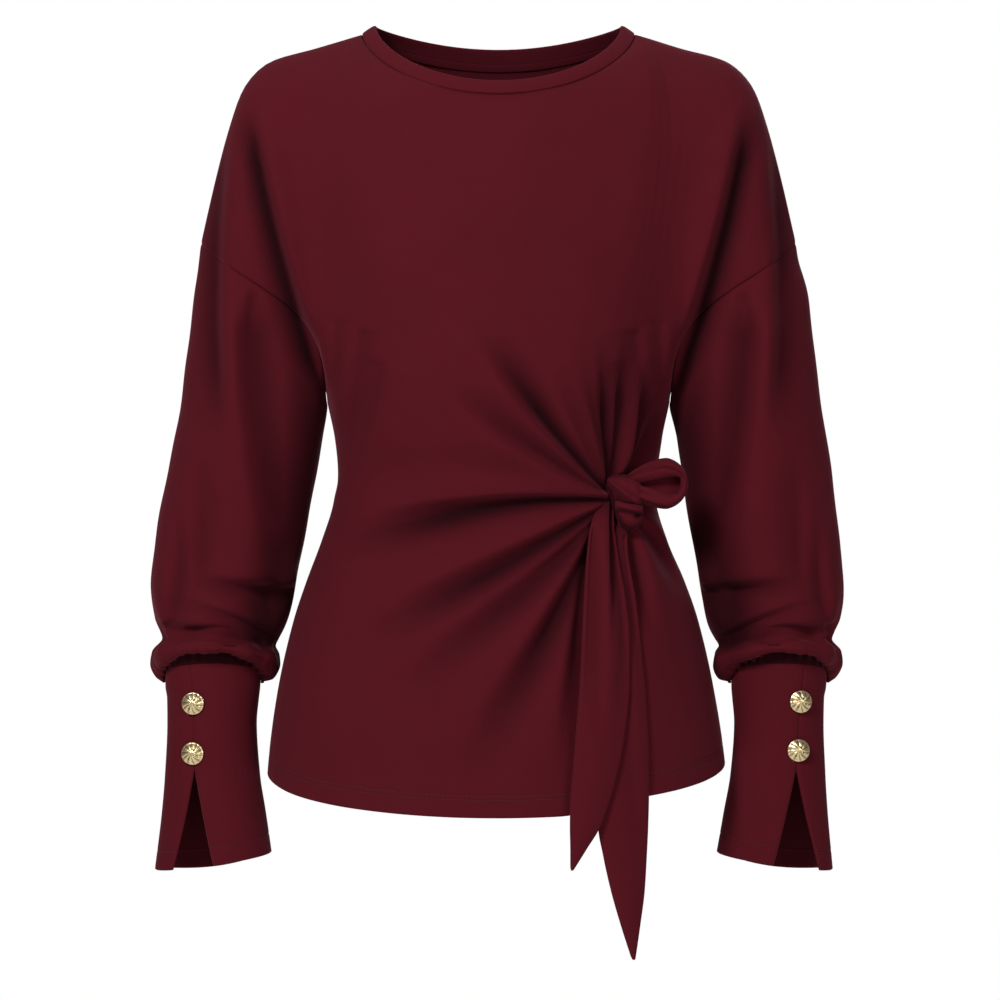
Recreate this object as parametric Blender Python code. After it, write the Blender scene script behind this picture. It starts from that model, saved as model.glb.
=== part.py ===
"""Tie-waist sweatshirt, filled out and hollow, with nobody in it.

The origin lies between the shoulders at their highest level. +Z is up, the front faces -Y and +X is
the viewer's right. Tables give sizes in millimetres, and heights as the drop below the origin.
"""
import math

import bmesh
import bpy
import numpy as np
from mathutils import Matrix, Vector

MM = 0.001
FRONT = -1
BACK = 1
LEFT = -1
RIGHT = 1

# Cloth and seams
JERSEY = 1.5
CUFF_CLOTH = 1.9
TIE_CLOTH = 2.4
LOOP_CLOTH = 1.68
TAPE_CLOTH = 1.0
SEAM_GAP = 0.3
TAPE_GAP = 0.9
TAPE_ROWS = (0.03, 0.34)
HALF_GAP = SEAM_GAP / 2

# Shoulder line from the drop point to the neck: distance from the middle, drop
SHOULDER = (
    (232.0, 167.0),
    (220.0, 114.5),
    (208.0, 71.0),
    (199.0, 47.5),
    (188.0, 33.0),
    (175.0, 24.0),
    (140.0, 14.0),
    (106.0, 3.4),
)

# Neckline seam and the top of its binding
NECK_HALF = 106.0
NECK_HIGH = 3.4
NECK_DEPTH = {FRONT: 80.0, BACK: 62.0}
NECK_DIP = {FRONT: 54.4, BACK: 16.6}
NECK_CURVE = 1.2
BINDING_HALF = 95.8
BINDING_HIGH = -3.4
BINDING_DEPTH = {FRONT: 75.0, BACK: 60.0}
BINDING_DIP = {FRONT: 50.4, BACK: 12.4}

# Torso: drop, half width, shift to the right, front depth, back depth
TORSO = (
    (292.0, 133.0, 0.0, 118.0, 100.0),
    (320.0, 127.3, 0.0, 112.0, 92.0),
    (351.0, 124.2, -1.0, 100.0, 84.0),
    (367.0, 125.6, -2.7, 97.0, 84.0),
    (398.0, 134.5, -3.2, 104.0, 92.0),
    (429.0, 147.0, -2.3, 113.0, 104.0),
    (460.0, 157.5, -2.0, 120.0, 114.0),
    (507.0, 168.5, -2.0, 126.0, 124.0),
    (554.0, 176.0, -1.6, 130.0, 128.0),
    (604.0, 181.0, -1.0, 131.0, 130.0),
)
TORSO_FULLNESS = 0.9
ARMPIT_DROP = 292.0
ARMPIT_HALF = 133.0
HEM_DROP = 577.0
HEM_DIP = {FRONT: 26.6, BACK: 24.0}

# Armhole: half depth, how far its two edges rise above a straight cut, and its shape
ARMHOLE_DEPTH = 55.0
ARMHOLE_LIFT = {FRONT: 25.0, BACK: 15.0}
ARMHOLE_POINT = 1.9
LIFT_POINT = 1.5

# Across a panel: share from the side to the neck point, and the angle it meets the armpit ring at
NECK_SHARE = 0.25
PANEL_ANGLES = (
    (0.0, 90.0),
    (0.142, 72.0),
    (0.25, 50.0),
    (0.5, 0.0),
)

# How strongly the cloth rolls over the shoulder and hangs into the armpit ring
SHOULDER_ROLL = ((0.0, 390.0), (0.5, 350.0), (1.0, 260.0))
CORNER_ROLL = 210.0
CORNER_SLOPE = (120.0, -38.0)
NECK_ROLL = {FRONT: 220.0, BACK: 230.0}
NECK_BLEND = 55.0
CORNER_SPREAD = 0.11
CORNER_SAMPLES = 11
CORNER_FADE = 0.4
RING_PULL = 200.0
RING_STEP = 4.0
ARMHOLE_REACH = 0.22

# How far creases keep off an armhole, and how the cloth's directions turn at a seam and a side
ARMHOLE_CALM = 26.0
SEAM_TURN = 0.35
SIDE_TURN = 0.4

# Sleeve: outer distance, outer drop, inner distance, inner drop, half depth, lift of front and back
SLEEVE = (
    (232.0, 167.0, 133.0, 292.0, 55.0, 0.0),
    (236.0, 205.0, 136.0, 315.0, 57.0, 0.0),
    (242.0, 250.0, 141.0, 345.0, 56.0, 0.0),
    (249.0, 300.0, 147.0, 380.0, 54.0, 0.0),
    (258.0, 350.0, 154.0, 415.0, 52.0, 0.0),
    (266.0, 400.0, 160.0, 445.0, 50.0, 0.0),
    (269.5, 435.0, 166.0, 465.0, 48.0, 2.0),
    (267.5, 458.0, 171.0, 475.0, 46.0, 4.0),
    (261.0, 475.0, 174.5, 482.0, 41.0, 6.0),
    (271.0, 490.0, 171.0, 492.5, 46.0, 9.0),
    (270.0, 499.5, 172.0, 500.5, 44.5, 11.0),
    (263.5, 504.0, 178.5, 504.5, 37.0, 12.0),
    (259.1, 489.0, 185.9, 489.0, 30.9, 0.0),
)
SLEEVE_ROUND_FROM = 3.0

# How far the right arm hangs to the right of the left one's mirror image: drop, shift
RIGHT_SWAY = (
    (167.0, 0.0),
    (195.0, 3.6),
    (220.0, 4.3),
    (300.0, 4.3),
    (335.0, 2.8),
    (360.0, 1.6),
    (405.0, 0.2),
    (440.0, 0.0),
    (470.0, -2.6),
    (500.0, -3.6),
    (522.0, -4.5),
    (570.0, -4.9),
    (616.0, -5.9),
    (655.0, -7.2),
)
SWAY_FROM = 1.2
SLEEVE_ROWS = (0.0, 0.4, 0.8, 1.4, 2.0, 2.7, 3.4, 4.1, 4.8, 5.4, 6.0)
SLEEVE_FINE_ROWS = (6.7, 7.4, 8.0, 8.6, 9.2, 10.0, 11.0, 12.0)
CREASES_FADE = (7.0, 9.0)
GATHERS = 11
GATHER_HEIGHT = ((5.5, 0.0), (7.0, 0.8), (8.0, 1.7), (9.0, 1.5), (10.0, 1.0), (11.0, 0.3), (12.0, 0.0))

# Cuff: drop, outer distance, inner distance, half depth
CUFF = (
    (489.0, 258.7, 186.3, 30.5),
    (540.0, 258.2, 188.5, 30.5),
    (580.0, 260.0, 186.0, 32.0),
    (610.0, 262.5, 181.7, 34.0),
    (655.0, 268.0, 176.3, 36.5),
)
CUFF_SEAM_DROP = 489.0
CUFF_EDGE = 647.0
CUFF_EDGE_TILT = 6.5
CUFF_EDGE_DIP = 3.0
SLIT_APEX = 576.0
SLIT_ANGLE = ((489.0, 61.4), (576.0, 68.0), (655.0, 67.5))
SLIT_OPENING = 21.4
CUFF_ROWS_OVER = 3
CUFF_ROWS_UNDER = 3
CUFF_COLUMNS = 20

# Buttons: drop on the cuff
BUTTON_RADIUS = 9.0
BUTTON_DOME = 4.4
BUTTON_BACK = 1.4
BUTTON_DROPS = {"upper": 525.5, "lower": 564.0}
BUTTON_RAYS = 7
BUTTON_RELIEF = 0.45
BUTTON_SWIRL = 0.8
BUTTON_SEGMENTS = (16, 8)

# Lines of the grids: from, to, number of strips
FRONT_COLUMNS = (
    (0.0, 0.07, 3),
    (0.07, 0.2, 6),
    (0.2, 0.25, 2),
    (0.25, 0.58, 9),
    (0.58, 0.66, 3),
    (0.66, 0.75, 6),
    (0.75, 0.84, 5),
    (0.84, 0.93, 5),
    (0.93, 1.0, 3),
)
BACK_COLUMNS = (
    (0.0, 0.1, 3),
    (0.1, 0.25, 4),
    (0.25, 0.4, 5),
    (0.4, 0.6, 4),
    (0.6, 0.75, 5),
    (0.75, 0.9, 4),
    (0.9, 1.0, 3),
)
UPPER_ROWS = 13
FRONT_LEVELS = (305, 318, 330, 340, 349, 357, 365, 373, 382, 392, 404, 418, 435, 456, 481, 510, 543, 577)
BACK_LEVELS = (320, 350, 378, 408, 440, 475, 510, 545, 577)

# Knot of the tie: where the front carries it, and its half sizes
KNOT_AT = (94.5, 369.0)
KNOT_HALF = (15.0, 11.0, 22.0)
KNOT_SEGMENTS = (20, 12)

# Grooves and waist of the knot, as shares of its half sizes: height, slant, width, depth
KNOT_GROOVES = (
    (0.15, 0.55, 0.22, 0.26),
    (-0.42, -0.25, 0.18, 0.2),
)
KNOT_WAIST = (-0.2, 0.0, 0.3, 0.1)

# How the front is calmed and drawn in round the knot
KNOT_CALM = (10.0, 20.0)
CINCH_AT = (97.0, 370.0)
CINCH_DEPTH = 12.0
CINCH_HALF = (20.0, 29.0)
KNOT_SEAT = -9.0

# Creases of the front: start x, drop, middle x, drop, end x, drop, depth, half width near, far, lean
FRONT_CREASES = (
    (91, 363, 34, 306, -22, 228, 15.0, 9.0, 15.0, -1),
    (58, 342, 20, 322, -42, 275, 5.0, 8.0, 14.0, -1),
    (77, 332, 66, 308, 50, 268, 5.0, 7.0, 11.0, -1),
    (86, 346, 82, 306, 77, 252, 8.0, 7.0, 11.0, -1),
    (95, 342, 97, 300, 101, 254, 7.0, 7.0, 10.0, -1),
    (105, 342, 113, 306, 120, 262, 7.0, 7.0, 10.0, -1),
    (91, 367, -20, 371, -128, 411, 13.0, 9.0, 15.0, 1),
    (86, 378, 8, 415, -114, 468, 12.0, 9.0, 16.0, 1),
    (76, 386, 14, 438, -98, 522, 7.0, 8.0, 15.0, 1),
    (72, 400, 36, 463, -33, 578, 9.0, 8.0, 15.0, 1),
    (106, 394, 124, 425, 138, 480, 5.0, 7.0, 11.0, -1),
)

# Creases of the back, pulled towards the tie at the right side
BACK_CREASES = (
    (116, 350, 64, 312, -20, 262, 7.0, 8.0, 15.0, 1),
    (118, 364, 50, 366, -60, 384, 8.0, 8.0, 16.0, 1),
    (116, 380, 62, 418, -30, 470, 8.0, 8.0, 16.0, -1),
    (114, 396, 92, 450, 50, 535, 7.0, 8.0, 14.0, -1),
    (-112, 340, -60, 352, 10, 346, 4.0, 8.0, 14.0, 1),
)

# Creases that run on from body to sleeve, given for the left and mirrored to the right
DRAPE_CREASES = {
    FRONT: (
        (-195, 70, -170, 170, -141, 286, 10.0, 9.0, 7.0, -1),
        (-203, 100, -200, 225, -172, 378, 7.0, 9.0, 9.0, 1),
    ),
    BACK: (
        (-194, 72, -168, 170, -141, 286, 9.0, 9.0, 7.0, -1),
        (-208, 180, -196, 290, -174, 400, 6.0, 9.0, 9.0, 1),
    ),
}

# Creases of the sleeves alone, given for the left
SLEEVE_CREASES = {
    FRONT: (
        (-180, 372, -166, 402, -157, 430, 4.5, 7.0, 6.0, -1),
        (-256, 436, -205, 428, -162, 430, 3.0, 6.0, 6.0, 1),
        (-214, 444, -196, 456, -182, 468, 2.5, 5.0, 5.0, 1),
    ),
    BACK: (
        (-252, 440, -210, 430, -170, 436, 3.0, 6.0, 6.0, 1),
        (-230, 380, -200, 404, -168, 420, 3.0, 7.0, 7.0, 1),
    ),
}
CREASE_RIDGE = 0.55
RIDGE_START = 0.3
CREASE_LIMIT = 15.0
RIDGE_PLACE = 1.7
CREASE_STEPS = 12

# Loop of the tie: middle of its outer edge, half sizes, and those of the slit through it
LOOP_AT = (123.6, 354.0)
LOOP_HALF = (18.5, 19.5)
LOOP_SLIT_AT = (120.5, 353.0)
LOOP_SLIT_HALF = (12.5, 2.0)
LOOP_TILT = 12.0
LOOP_OPENING = 38.0
LOOP_ROOT = (104.6, 354.5, 7.0)
LOOP_NARROWS = math.radians(90.0)
LOOP_MIDDLE_Y = -77.0
LOOP_HALF_DEPTH = 10.0
LOOP_WRAP = 148.0

# Tails of the tie: drop, left edge, right edge, clearance from the front panel
TAIL_FRONT = (
    (373.0, 73.5, 83.8, -4.0),
    (385.0, 70.5, 85.0, 3.0),
    (397.0, 69.3, 88.5, 6.6),
    (419.0, 67.0, 92.5, 8.4),
    (441.0, 65.5, 96.2, 8.4),
    (472.0, 63.8, 99.0, 8.4),
    (504.0, 62.0, 98.8, 8.4),
    (534.0, 59.5, 96.0, 8.4),
    (562.0, 57.2, 91.2, 8.4),
    (590.0, 54.8, 83.6, 8.4),
    (611.0, 54.3, 76.0, 8.4),
    (627.0, 54.6, 66.0, 8.4),
    (642.0, 54.6, 56.4, 8.4),
)
TAIL_BACK = (
    (390.2, 89.0, 98.0, 1.0),
    (404.0, 86.0, 98.5, 2.0),
    (420.0, 84.5, 100.5, 2.4),
    (440.0, 84.0, 104.0, 2.4),
    (472.0, 84.0, 107.5, 2.4),
    (511.0, 83.0, 111.2, 2.4),
    (555.0, 80.0, 113.4, 2.4),
    (586.0, 76.5, 113.6, 2.4),
    (611.0, 76.0, 113.0, 2.4),
    (632.0, 79.5, 112.0, 2.4),
    (660.0, 85.8, 110.3, 2.4),
    (686.0, 93.3, 106.9, 2.4),
    (711.0, 101.4, 103.2, 2.4),
)
TAIL_COLUMNS = 4
TAIL_CROWN = 2.2


def smoothstep(value):
    """Runs from 0 to 1 as its value does, level at both ends."""
    value = np.clip(value, 0.0, 1.0)
    return value * value * (3 - 2 * value)


def unit(vectors):
    """Makes vectors one long."""
    return vectors / np.maximum(np.linalg.norm(vectors, axis=-1, keepdims=True), 1e-9)


def read_table(rows, column, at):
    """Reads a column of a table at any place, on a smooth curve that stays between its rows."""
    places = np.array([row[0] for row in rows], float)
    values = np.array([row[column] for row in rows], float)
    steps = np.diff(places)
    slopes = np.diff(values) / steps
    tangents = np.zeros(len(places))
    tangents[0] = slopes[0]
    tangents[-1] = slopes[-1]
    for i in range(1, len(slopes)):
        if slopes[i - 1] * slopes[i] > 0:
            tangents[i] = 2 * slopes[i - 1] * slopes[i] / (slopes[i - 1] + slopes[i])
    at = np.clip(np.asarray(at, float), places[0], places[-1])
    i = np.clip(np.searchsorted(places, at, side="right") - 1, 0, len(steps) - 1)
    t = (at - places[i]) / steps[i]
    return (
        values[i] * (1 + 2 * t) * (1 - t) ** 2
        + values[i + 1] * t * t * (3 - 2 * t)
        + steps[i] * (tangents[i] * t * (1 - t) ** 2 - tangents[i + 1] * t * t * (1 - t))
    )


def spread(zones):
    """Lists the lines of a grid from its zones."""
    lines = [zones[0][0]]
    for start, end, count in zones:
        for k in range(count):
            lines.append(start + (end - start) * (k + 1) / count)
    return np.array(lines)


def shoulder_rows():
    """The shoulder line with the length along it from the drop point, as a share of its whole."""
    line = np.array(SHOULDER)
    lengths = np.concatenate([[0.0], np.cumsum(np.linalg.norm(np.diff(line, axis=0), axis=1))])
    return [(length / lengths[-1], x, drop) for length, (x, drop) in zip(lengths, line)]


SHOULDER_ROWS = shoulder_rows()


def neck_seam(angle, side):
    """A point of the neckline seam, by its angle from the middle of the front or back."""
    cosine = np.maximum(np.cos(angle), 0.0)
    drop = NECK_HIGH + NECK_DIP[side] * cosine ** NECK_CURVE
    return np.stack([NECK_HALF * np.sin(angle), side * NECK_DEPTH[side] * cosine, -drop], axis=-1)


def binding_top(angle, side):
    """A point of the binding's upper edge."""
    cosine = np.maximum(np.cos(angle), 0.0)
    drop = BINDING_HIGH + BINDING_DIP[side] * cosine ** NECK_CURVE
    return np.stack([BINDING_HALF * np.sin(angle), side * BINDING_DEPTH[side] * cosine, -drop], axis=-1)


def torso_point(drop, angle, side):
    """A point of the torso, by its drop and its angle from the middle of the front or back."""
    half = read_table(TORSO, 1, drop)
    shift = read_table(TORSO, 2, drop)
    depth = read_table(TORSO, 3 if side == FRONT else 4, drop)
    cosine = np.maximum(np.cos(angle), 0.0)
    x = shift + half * np.sin(angle)
    return np.stack([x, side * depth * cosine ** TORSO_FULLNESS, -drop + 0 * x], axis=-1)


def armhole_share(turn):
    """How far along the armhole's slope a point lies, by its turn from the drop point to the armpit."""
    return np.sin(math.pi / 2 * turn ** ARMHOLE_POINT)


def armhole_lift(turn, side):
    """How far the armhole rises inward from its slope: to the side and up."""
    run = ARMPIT_DROP - SHOULDER[0][1]
    reach = SHOULDER[0][0] - ARMPIT_HALF
    lift = ARMHOLE_LIFT[side] * np.sin(math.pi * armhole_share(turn) ** LIFT_POINT)
    return lift * run / math.hypot(run, reach), lift * reach / math.hypot(run, reach)


def armhole_point(turn, side, hand):
    """A point of the armhole seam, by its turn from the drop point (0) to the armpit (1)."""
    inward, up = armhole_lift(turn, side)
    share = armhole_share(turn)
    x = SHOULDER[0][0] + (ARMPIT_HALF - SHOULDER[0][0]) * share - inward
    z = -SHOULDER[0][1] + (SHOULDER[0][1] - ARMPIT_DROP) * share + up
    y = side * ARMHOLE_DEPTH * np.sin(math.pi * turn)
    return np.stack([hand * x, y, z], axis=-1)


def panel_angle(across):
    """Angle at which a line of a panel meets the armpit ring."""
    edge = np.minimum(across, 1 - across)
    return np.sign(across - 0.5) * np.radians(read_table(PANEL_ANGLES, 1, edge))


def panel_top(across, side):
    """The upper edge of a panel and the way its cloth leaves it: shoulder, neckline, shoulder."""
    hand = np.where(across < 0.5, LEFT, RIGHT)
    share = np.clip(np.minimum(across, 1 - across) / NECK_SHARE, 0.0, 1.0)
    x = hand * read_table(SHOULDER_ROWS, 1, share)
    z = -read_table(SHOULDER_ROWS, 2, share)
    shoulder = np.stack([x, 0 * x, z], axis=-1)
    corner = np.stack([hand * CORNER_SLOPE[0], 0 * x + side * CORNER_ROLL, 0 * x + CORNER_SLOPE[1]], axis=-1)
    roll = np.stack([0 * x, side * read_table(SHOULDER_ROLL, 1, share), 0 * x], axis=-1)
    turn = smoothstep(2 * share - 1)[..., None]
    shoulder_way = roll * (1 - turn) + corner * turn

    angle = math.pi * (np.clip((across - NECK_SHARE) / (1 - 2 * NECK_SHARE), 0.0, 1.0) - 0.5)
    neck = neck_seam(angle, side)
    down = unit(neck - binding_top(angle, side)) * NECK_ROLL[side]
    settle = smoothstep((math.pi / 2 - np.abs(angle)) / math.radians(NECK_BLEND))[..., None]
    neck_way = corner * (1 - settle) + down * settle

    is_neck = ((across > NECK_SHARE) & (across < 1 - NECK_SHARE))[..., None]
    return np.where(is_neck, neck, shoulder), np.where(is_neck, neck_way, shoulder_way)


def soft_top(across, side):
    """The upper edge and its direction, averaged across the corners of the neck."""
    reach = CORNER_SPREAD * smoothstep(np.minimum(across, 1 - across) / (2 * CORNER_SPREAD))
    offsets = np.linspace(-1, 1, CORNER_SAMPLES)
    weights = np.cos(offsets * math.pi / 2) ** 2 + 0.02
    weights = weights / weights.sum()
    top = 0
    way = 0
    for offset, weight in zip(offsets, weights):
        edge, edge_way = panel_top(across + offset * reach, side)
        top = top + edge * weight
        way = way + edge_way * weight
    return top, way


def hang(across, down, side):
    """A panel from its upper edge (down 0) to the armpit ring (down 1), before its armholes."""
    top, top_way = soft_top(across, side)
    sharp = (panel_top(across, side)[0] - top) * (1 - smoothstep(down / CORNER_FADE))[..., None]
    angle = panel_angle(across)
    foot = torso_point(ARMPIT_DROP, angle, side)
    foot_way = (torso_point(ARMPIT_DROP + RING_STEP, angle, side) - foot) / RING_STEP * RING_PULL
    t = down[..., None]
    return (
        top * (1 + 2 * t) * (1 - t) ** 2
        + top_way * t * (1 - t) ** 2
        + foot * t * t * (3 - 2 * t)
        - foot_way * t * t * (1 - t)
        + sharp
    )


def panel_point(across, down, side):
    """A point of the front or back: down is 0 at the top, 1 at the armpit ring and 2 at the hem."""
    upper = np.clip(down, 0.0, 1.0)
    points = hang(across, upper, side)
    for hand, edge in ((LEFT, 0.0), (RIGHT, 1.0)):
        reach = 1 - smoothstep(np.abs(across - edge) / ARMHOLE_REACH)
        shift = armhole_point(upper, side, hand) - hang(0 * across + edge, upper, side)
        points = points + shift * reach[..., None]
    lower = np.clip(down - 1, 0.0, 1.0)
    even_angle = (across - 0.5) * math.pi
    angle = panel_angle(across) * (1 - smoothstep(lower)) + even_angle * smoothstep(lower)
    hem = HEM_DROP + HEM_DIP[side] * np.cos(angle)
    skirt = torso_point(ARMPIT_DROP + (hem - ARMPIT_DROP) * lower, angle, side)
    return np.where((down > 1.0)[..., None], skirt, points)


def sway(drop, hand):
    """How far an arm hangs to the right of its mirrored place."""
    return read_table(RIGHT_SWAY, 1, drop) if hand == RIGHT else 0 * drop


def sleeve_point(row, turn, side, hand):
    """A point of a sleeve, by its row of the sleeve table and its turn from the outer side."""
    outer_x, outer_drop, inner_x, inner_drop, depth, lift = (
        np.interp(row, range(len(SLEEVE)), [line[k] for line in SLEEVE]) for k in range(6)
    )
    blend = smoothstep(row / SLEEVE_ROUND_FROM)
    share = (1 - blend) * armhole_share(turn) + blend * (1 - np.cos(math.pi * turn)) / 2
    inward, up = armhole_lift(turn, side)
    x = outer_x + (inner_x - outer_x) * share - (1 - blend) * inward
    z = -outer_drop - (inner_drop - outer_drop) * share + (1 - blend) * up
    z = z + lift * np.sin(math.pi * turn)
    y = side * depth * np.sin(math.pi * turn)
    x = hand * x + sway(-z, hand) * smoothstep(row / SWAY_FROM)
    return np.stack([x + 0 * y, y, z + 0 * y], axis=-1)


def sleeve_turns(fine):
    """Turns round a sleeve that match the rows of both panels, and twice as many lower down."""
    half = np.linspace(0, 1, UPPER_ROWS * (2 if fine else 1) + 1)
    return half, half[::-1]


def sleeve_ring(row, hand, fine):
    """One closed ring of a sleeve, from the outer side over the front to the back."""
    front_turns, back_turns = sleeve_turns(fine)
    front = sleeve_point(row, front_turns, FRONT, hand)
    back = sleeve_point(row, back_turns, BACK, hand)
    return np.concatenate([front[:-1], back[:-1]])


def gather_height(row, count):
    """Height of the gathers round one ring, uneven in place and depth."""
    turn = 2 * math.pi * np.arange(count) / count
    wave = np.cos(GATHERS * turn + 0.9 * np.sin(2 * turn + 1.0)) * (1 + 0.3 * np.sin(3 * turn + 2.0))
    return read_table(GATHER_HEIGHT, 1, row) * wave


def crease_height(x, drop, crease):
    """Height of one crease: a trough along a curve through three points, with a ridge beside it."""
    x0, d0, x1, d1, x2, d2, depth, near, far, lean = crease
    t = np.linspace(0, 1, CREASE_STEPS + 1)
    weights = (2 * (t - 0.5) * (t - 1), 4 * t * (1 - t), 2 * t * (t - 0.5))
    path_x = weights[0] * x0 + weights[1] * x1 + weights[2] * x2
    path_drop = weights[0] * d0 + weights[1] * d1 + weights[2] * d2
    best = np.full(x.shape, 1e9)
    offset = np.zeros(x.shape)
    along = np.zeros(x.shape)
    for k in range(CREASE_STEPS):
        run_x = path_x[k + 1] - path_x[k]
        run_d = path_drop[k + 1] - path_drop[k]
        run = math.hypot(run_x, run_d)
        share = np.clip(((x - path_x[k]) * run_x + (drop - path_drop[k]) * run_d) / run ** 2, 0, 1)
        off_x = x - path_x[k] - share * run_x
        off_d = drop - path_drop[k] - share * run_d
        distance = np.hypot(off_x, off_d)
        closer = distance < best
        turned = np.where(run_x * off_d - run_d * off_x >= 0, 1.0, -1.0)
        best = np.where(closer, distance, best)
        offset = np.where(closer, distance * turned, offset)
        along = np.where(closer, (k + share) / CREASE_STEPS, along)
    width = near + (far - near) * along
    fade = (1 - smoothstep((along - 0.45) / 0.55)) * (0.5 + 0.5 * smoothstep(along / 0.1))
    trough = np.exp(-((offset / width) ** 2))
    ridge = np.exp(-(((offset - lean * RIDGE_PLACE * width) / width) ** 2))
    return depth * fade * (CREASE_RIDGE * smoothstep(along / RIDGE_START) * ridge - trough)


def mirrored(creases):
    """The same creases on the right."""
    return [(-c[0], c[1], -c[2], c[3], -c[4], c[5], c[6], c[7], c[8], -c[9]) for c in creases]


def facing(normals, side):
    """How much a point faces the front or the back."""
    return smoothstep(side * normals[..., 1] / SIDE_TURN)


def crease_field(points, normals, tables):
    """Height of all the creases in the tables for the front and the back."""
    height = np.zeros(points.shape[:-1])
    for side, creases in tables.items():
        seen = facing(normals, side)
        for crease in creases:
            height = height + seen * crease_height(points[..., 0], -points[..., 2], crease)
    return height


def away_from_armholes(points):
    """0 at an armhole seam and 1 away from it."""
    turns = np.linspace(0, 1, 40)
    near = np.full(points.shape[:-1], 1e9)
    for hand in (LEFT, RIGHT):
        for side in (FRONT, BACK):
            for seam in armhole_point(turns, side, hand):
                near = np.minimum(near, np.linalg.norm(points - seam, axis=-1))
    return smoothstep(near / ARMHOLE_CALM)


def flatten_under_knot(points, height):
    """Lowers the ridges beside and under the knot, and keeps its troughs to a depth."""
    distance = np.hypot(points[..., 0] - KNOT_AT[0], -points[..., 2] - KNOT_AT[1])
    away = smoothstep((distance - KNOT_CALM[0]) / (KNOT_CALM[1] - KNOT_CALM[0]))
    cinch_x = (points[..., 0] - CINCH_AT[0]) / CINCH_HALF[0]
    cinch_z = (-points[..., 2] - CINCH_AT[1]) / CINCH_HALF[1]
    cinch = CINCH_DEPTH * np.exp(-(cinch_x ** 2) - cinch_z ** 2)
    on_front = points[..., 1] < 0
    away = np.where(on_front, away, 1.0)
    lowered = np.minimum(height, 0) - np.where(on_front, cinch, 0.0)
    return np.maximum(height, 0) * away + CREASE_LIMIT * np.tanh(lowered / CREASE_LIMIT)


def body_creases(points, normals):
    """Creases on a panel."""
    shared = {side: list(c) + mirrored(c) for side, c in DRAPE_CREASES.items()}
    own = crease_field(points, normals, {FRONT: FRONT_CREASES, BACK: BACK_CREASES})
    own = flatten_under_knot(points, own * away_from_armholes(points))
    return own + crease_field(points, normals, shared)


def sleeve_creases(points, normals, hand):
    """Creases on a sleeve."""
    tables = {side: list(DRAPE_CREASES[side]) + list(SLEEVE_CREASES[side]) for side in (FRONT, BACK)}
    if hand == RIGHT:
        tables = {side: mirrored(creases) for side, creases in tables.items()}
    return crease_field(points, normals, tables)


def ring_faces(first, second, start, next_start, closed):
    """Triangles between two rings, of equal number or with the second doubled."""
    count = len(first)
    pairs = count if closed else count - 1
    faces = []
    for i in range(pairs):
        j = (i + 1) % count
        if len(second) == count:
            corner = (start + i, next_start + i, next_start + j, start + j)
            one_way = np.linalg.norm(first[i] - second[j])
            other_way = np.linalg.norm(first[j] - second[i])
            if one_way < other_way:
                faces += [(corner[0], corner[1], corner[2]), (corner[0], corner[2], corner[3])]
            else:
                faces += [(corner[0], corner[1], corner[3]), (corner[1], corner[2], corner[3])]
        else:
            low = next_start + 2 * i
            middle = low + 1
            high = next_start + (2 * i + 2) % len(second)
            faces += [(start + i, low, middle), (start + i, middle, start + j), (start + j, middle, high)]
    return faces


def sheet_faces(rings, closed):
    """Triangles of a sheet of rings, facing out where rings run down and points run round."""
    starts = np.concatenate([[0], np.cumsum([len(ring) for ring in rings])])
    faces = []
    for k in range(len(rings) - 1):
        faces += ring_faces(rings[k], rings[k + 1], int(starts[k]), int(starts[k + 1]), closed)
    return faces


def sheet_normals(sheet):
    """Outward directions at every point of one sheet."""
    points = np.concatenate(sheet["rings"])
    faces = np.array(sheet_faces(sheet["rings"], sheet["closed"]))
    corners = points[faces]
    face_normals = np.cross(corners[:, 1] - corners[:, 0], corners[:, 2] - corners[:, 0])
    sums = np.zeros(points.shape)
    for corner in range(3):
        np.add.at(sums, faces[:, corner], face_normals)
    return unit(sums)


def set_normals(sheets, groups):
    """Gives each sheet its own directions, and those averaged where groups of sheets meet."""
    own = {name: sheet_normals(sheet) for name, sheet in sheets.items()}
    names = [name for group in groups for name in group]
    points = np.concatenate([ring for name in names for ring in sheets[name]["rings"]])
    place_of = np.unique(np.round(points, 3), axis=0, return_inverse=True)[1].reshape(-1)
    shared = np.zeros((place_of.max() + 1, 3))
    start = 0
    for group in groups:
        together = np.concatenate([own[name] for name in group])
        group_sum = np.zeros(shared.shape)
        np.add.at(group_sum, place_of[start:start + len(together)], together)
        shared += unit(group_sum)
        start += len(together)
    shared = unit(shared)[place_of]
    start = 0
    for name in names:
        ends = np.cumsum([len(ring) for ring in sheets[name]["rings"]])
        sheets[name]["normals"] = np.split(shared[start:start + ends[-1]], ends[:-1])
        sheets[name]["own_normals"] = np.split(own[name], ends[:-1])
        start += ends[-1]


def seam_normals(shared, own, inward):
    """Turns a seam's shared directions to the sheet's own where the two cloths face each other."""
    facing_over = smoothstep(-np.sum(own * inward, axis=-1, keepdims=True) / SEAM_TURN)
    return unit(shared * (1 - facing_over) + own * facing_over)


def panel_sheet(side):
    """Rings of the front or back, running down, each running round to the wearer's left or right."""
    across = spread(FRONT_COLUMNS if side == FRONT else BACK_COLUMNS)
    levels = FRONT_LEVELS if side == FRONT else BACK_LEVELS
    upper = list(np.arange(UPPER_ROWS + 1) / UPPER_ROWS)
    lower = [1 + (level - ARMPIT_DROP) / (HEM_DROP - ARMPIT_DROP) for level in levels]
    if side == BACK:
        across = across[::-1]
    rings = [panel_point(across, 0 * across + down, side) for down in upper + lower]
    return {"rings": rings, "closed": False}


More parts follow.
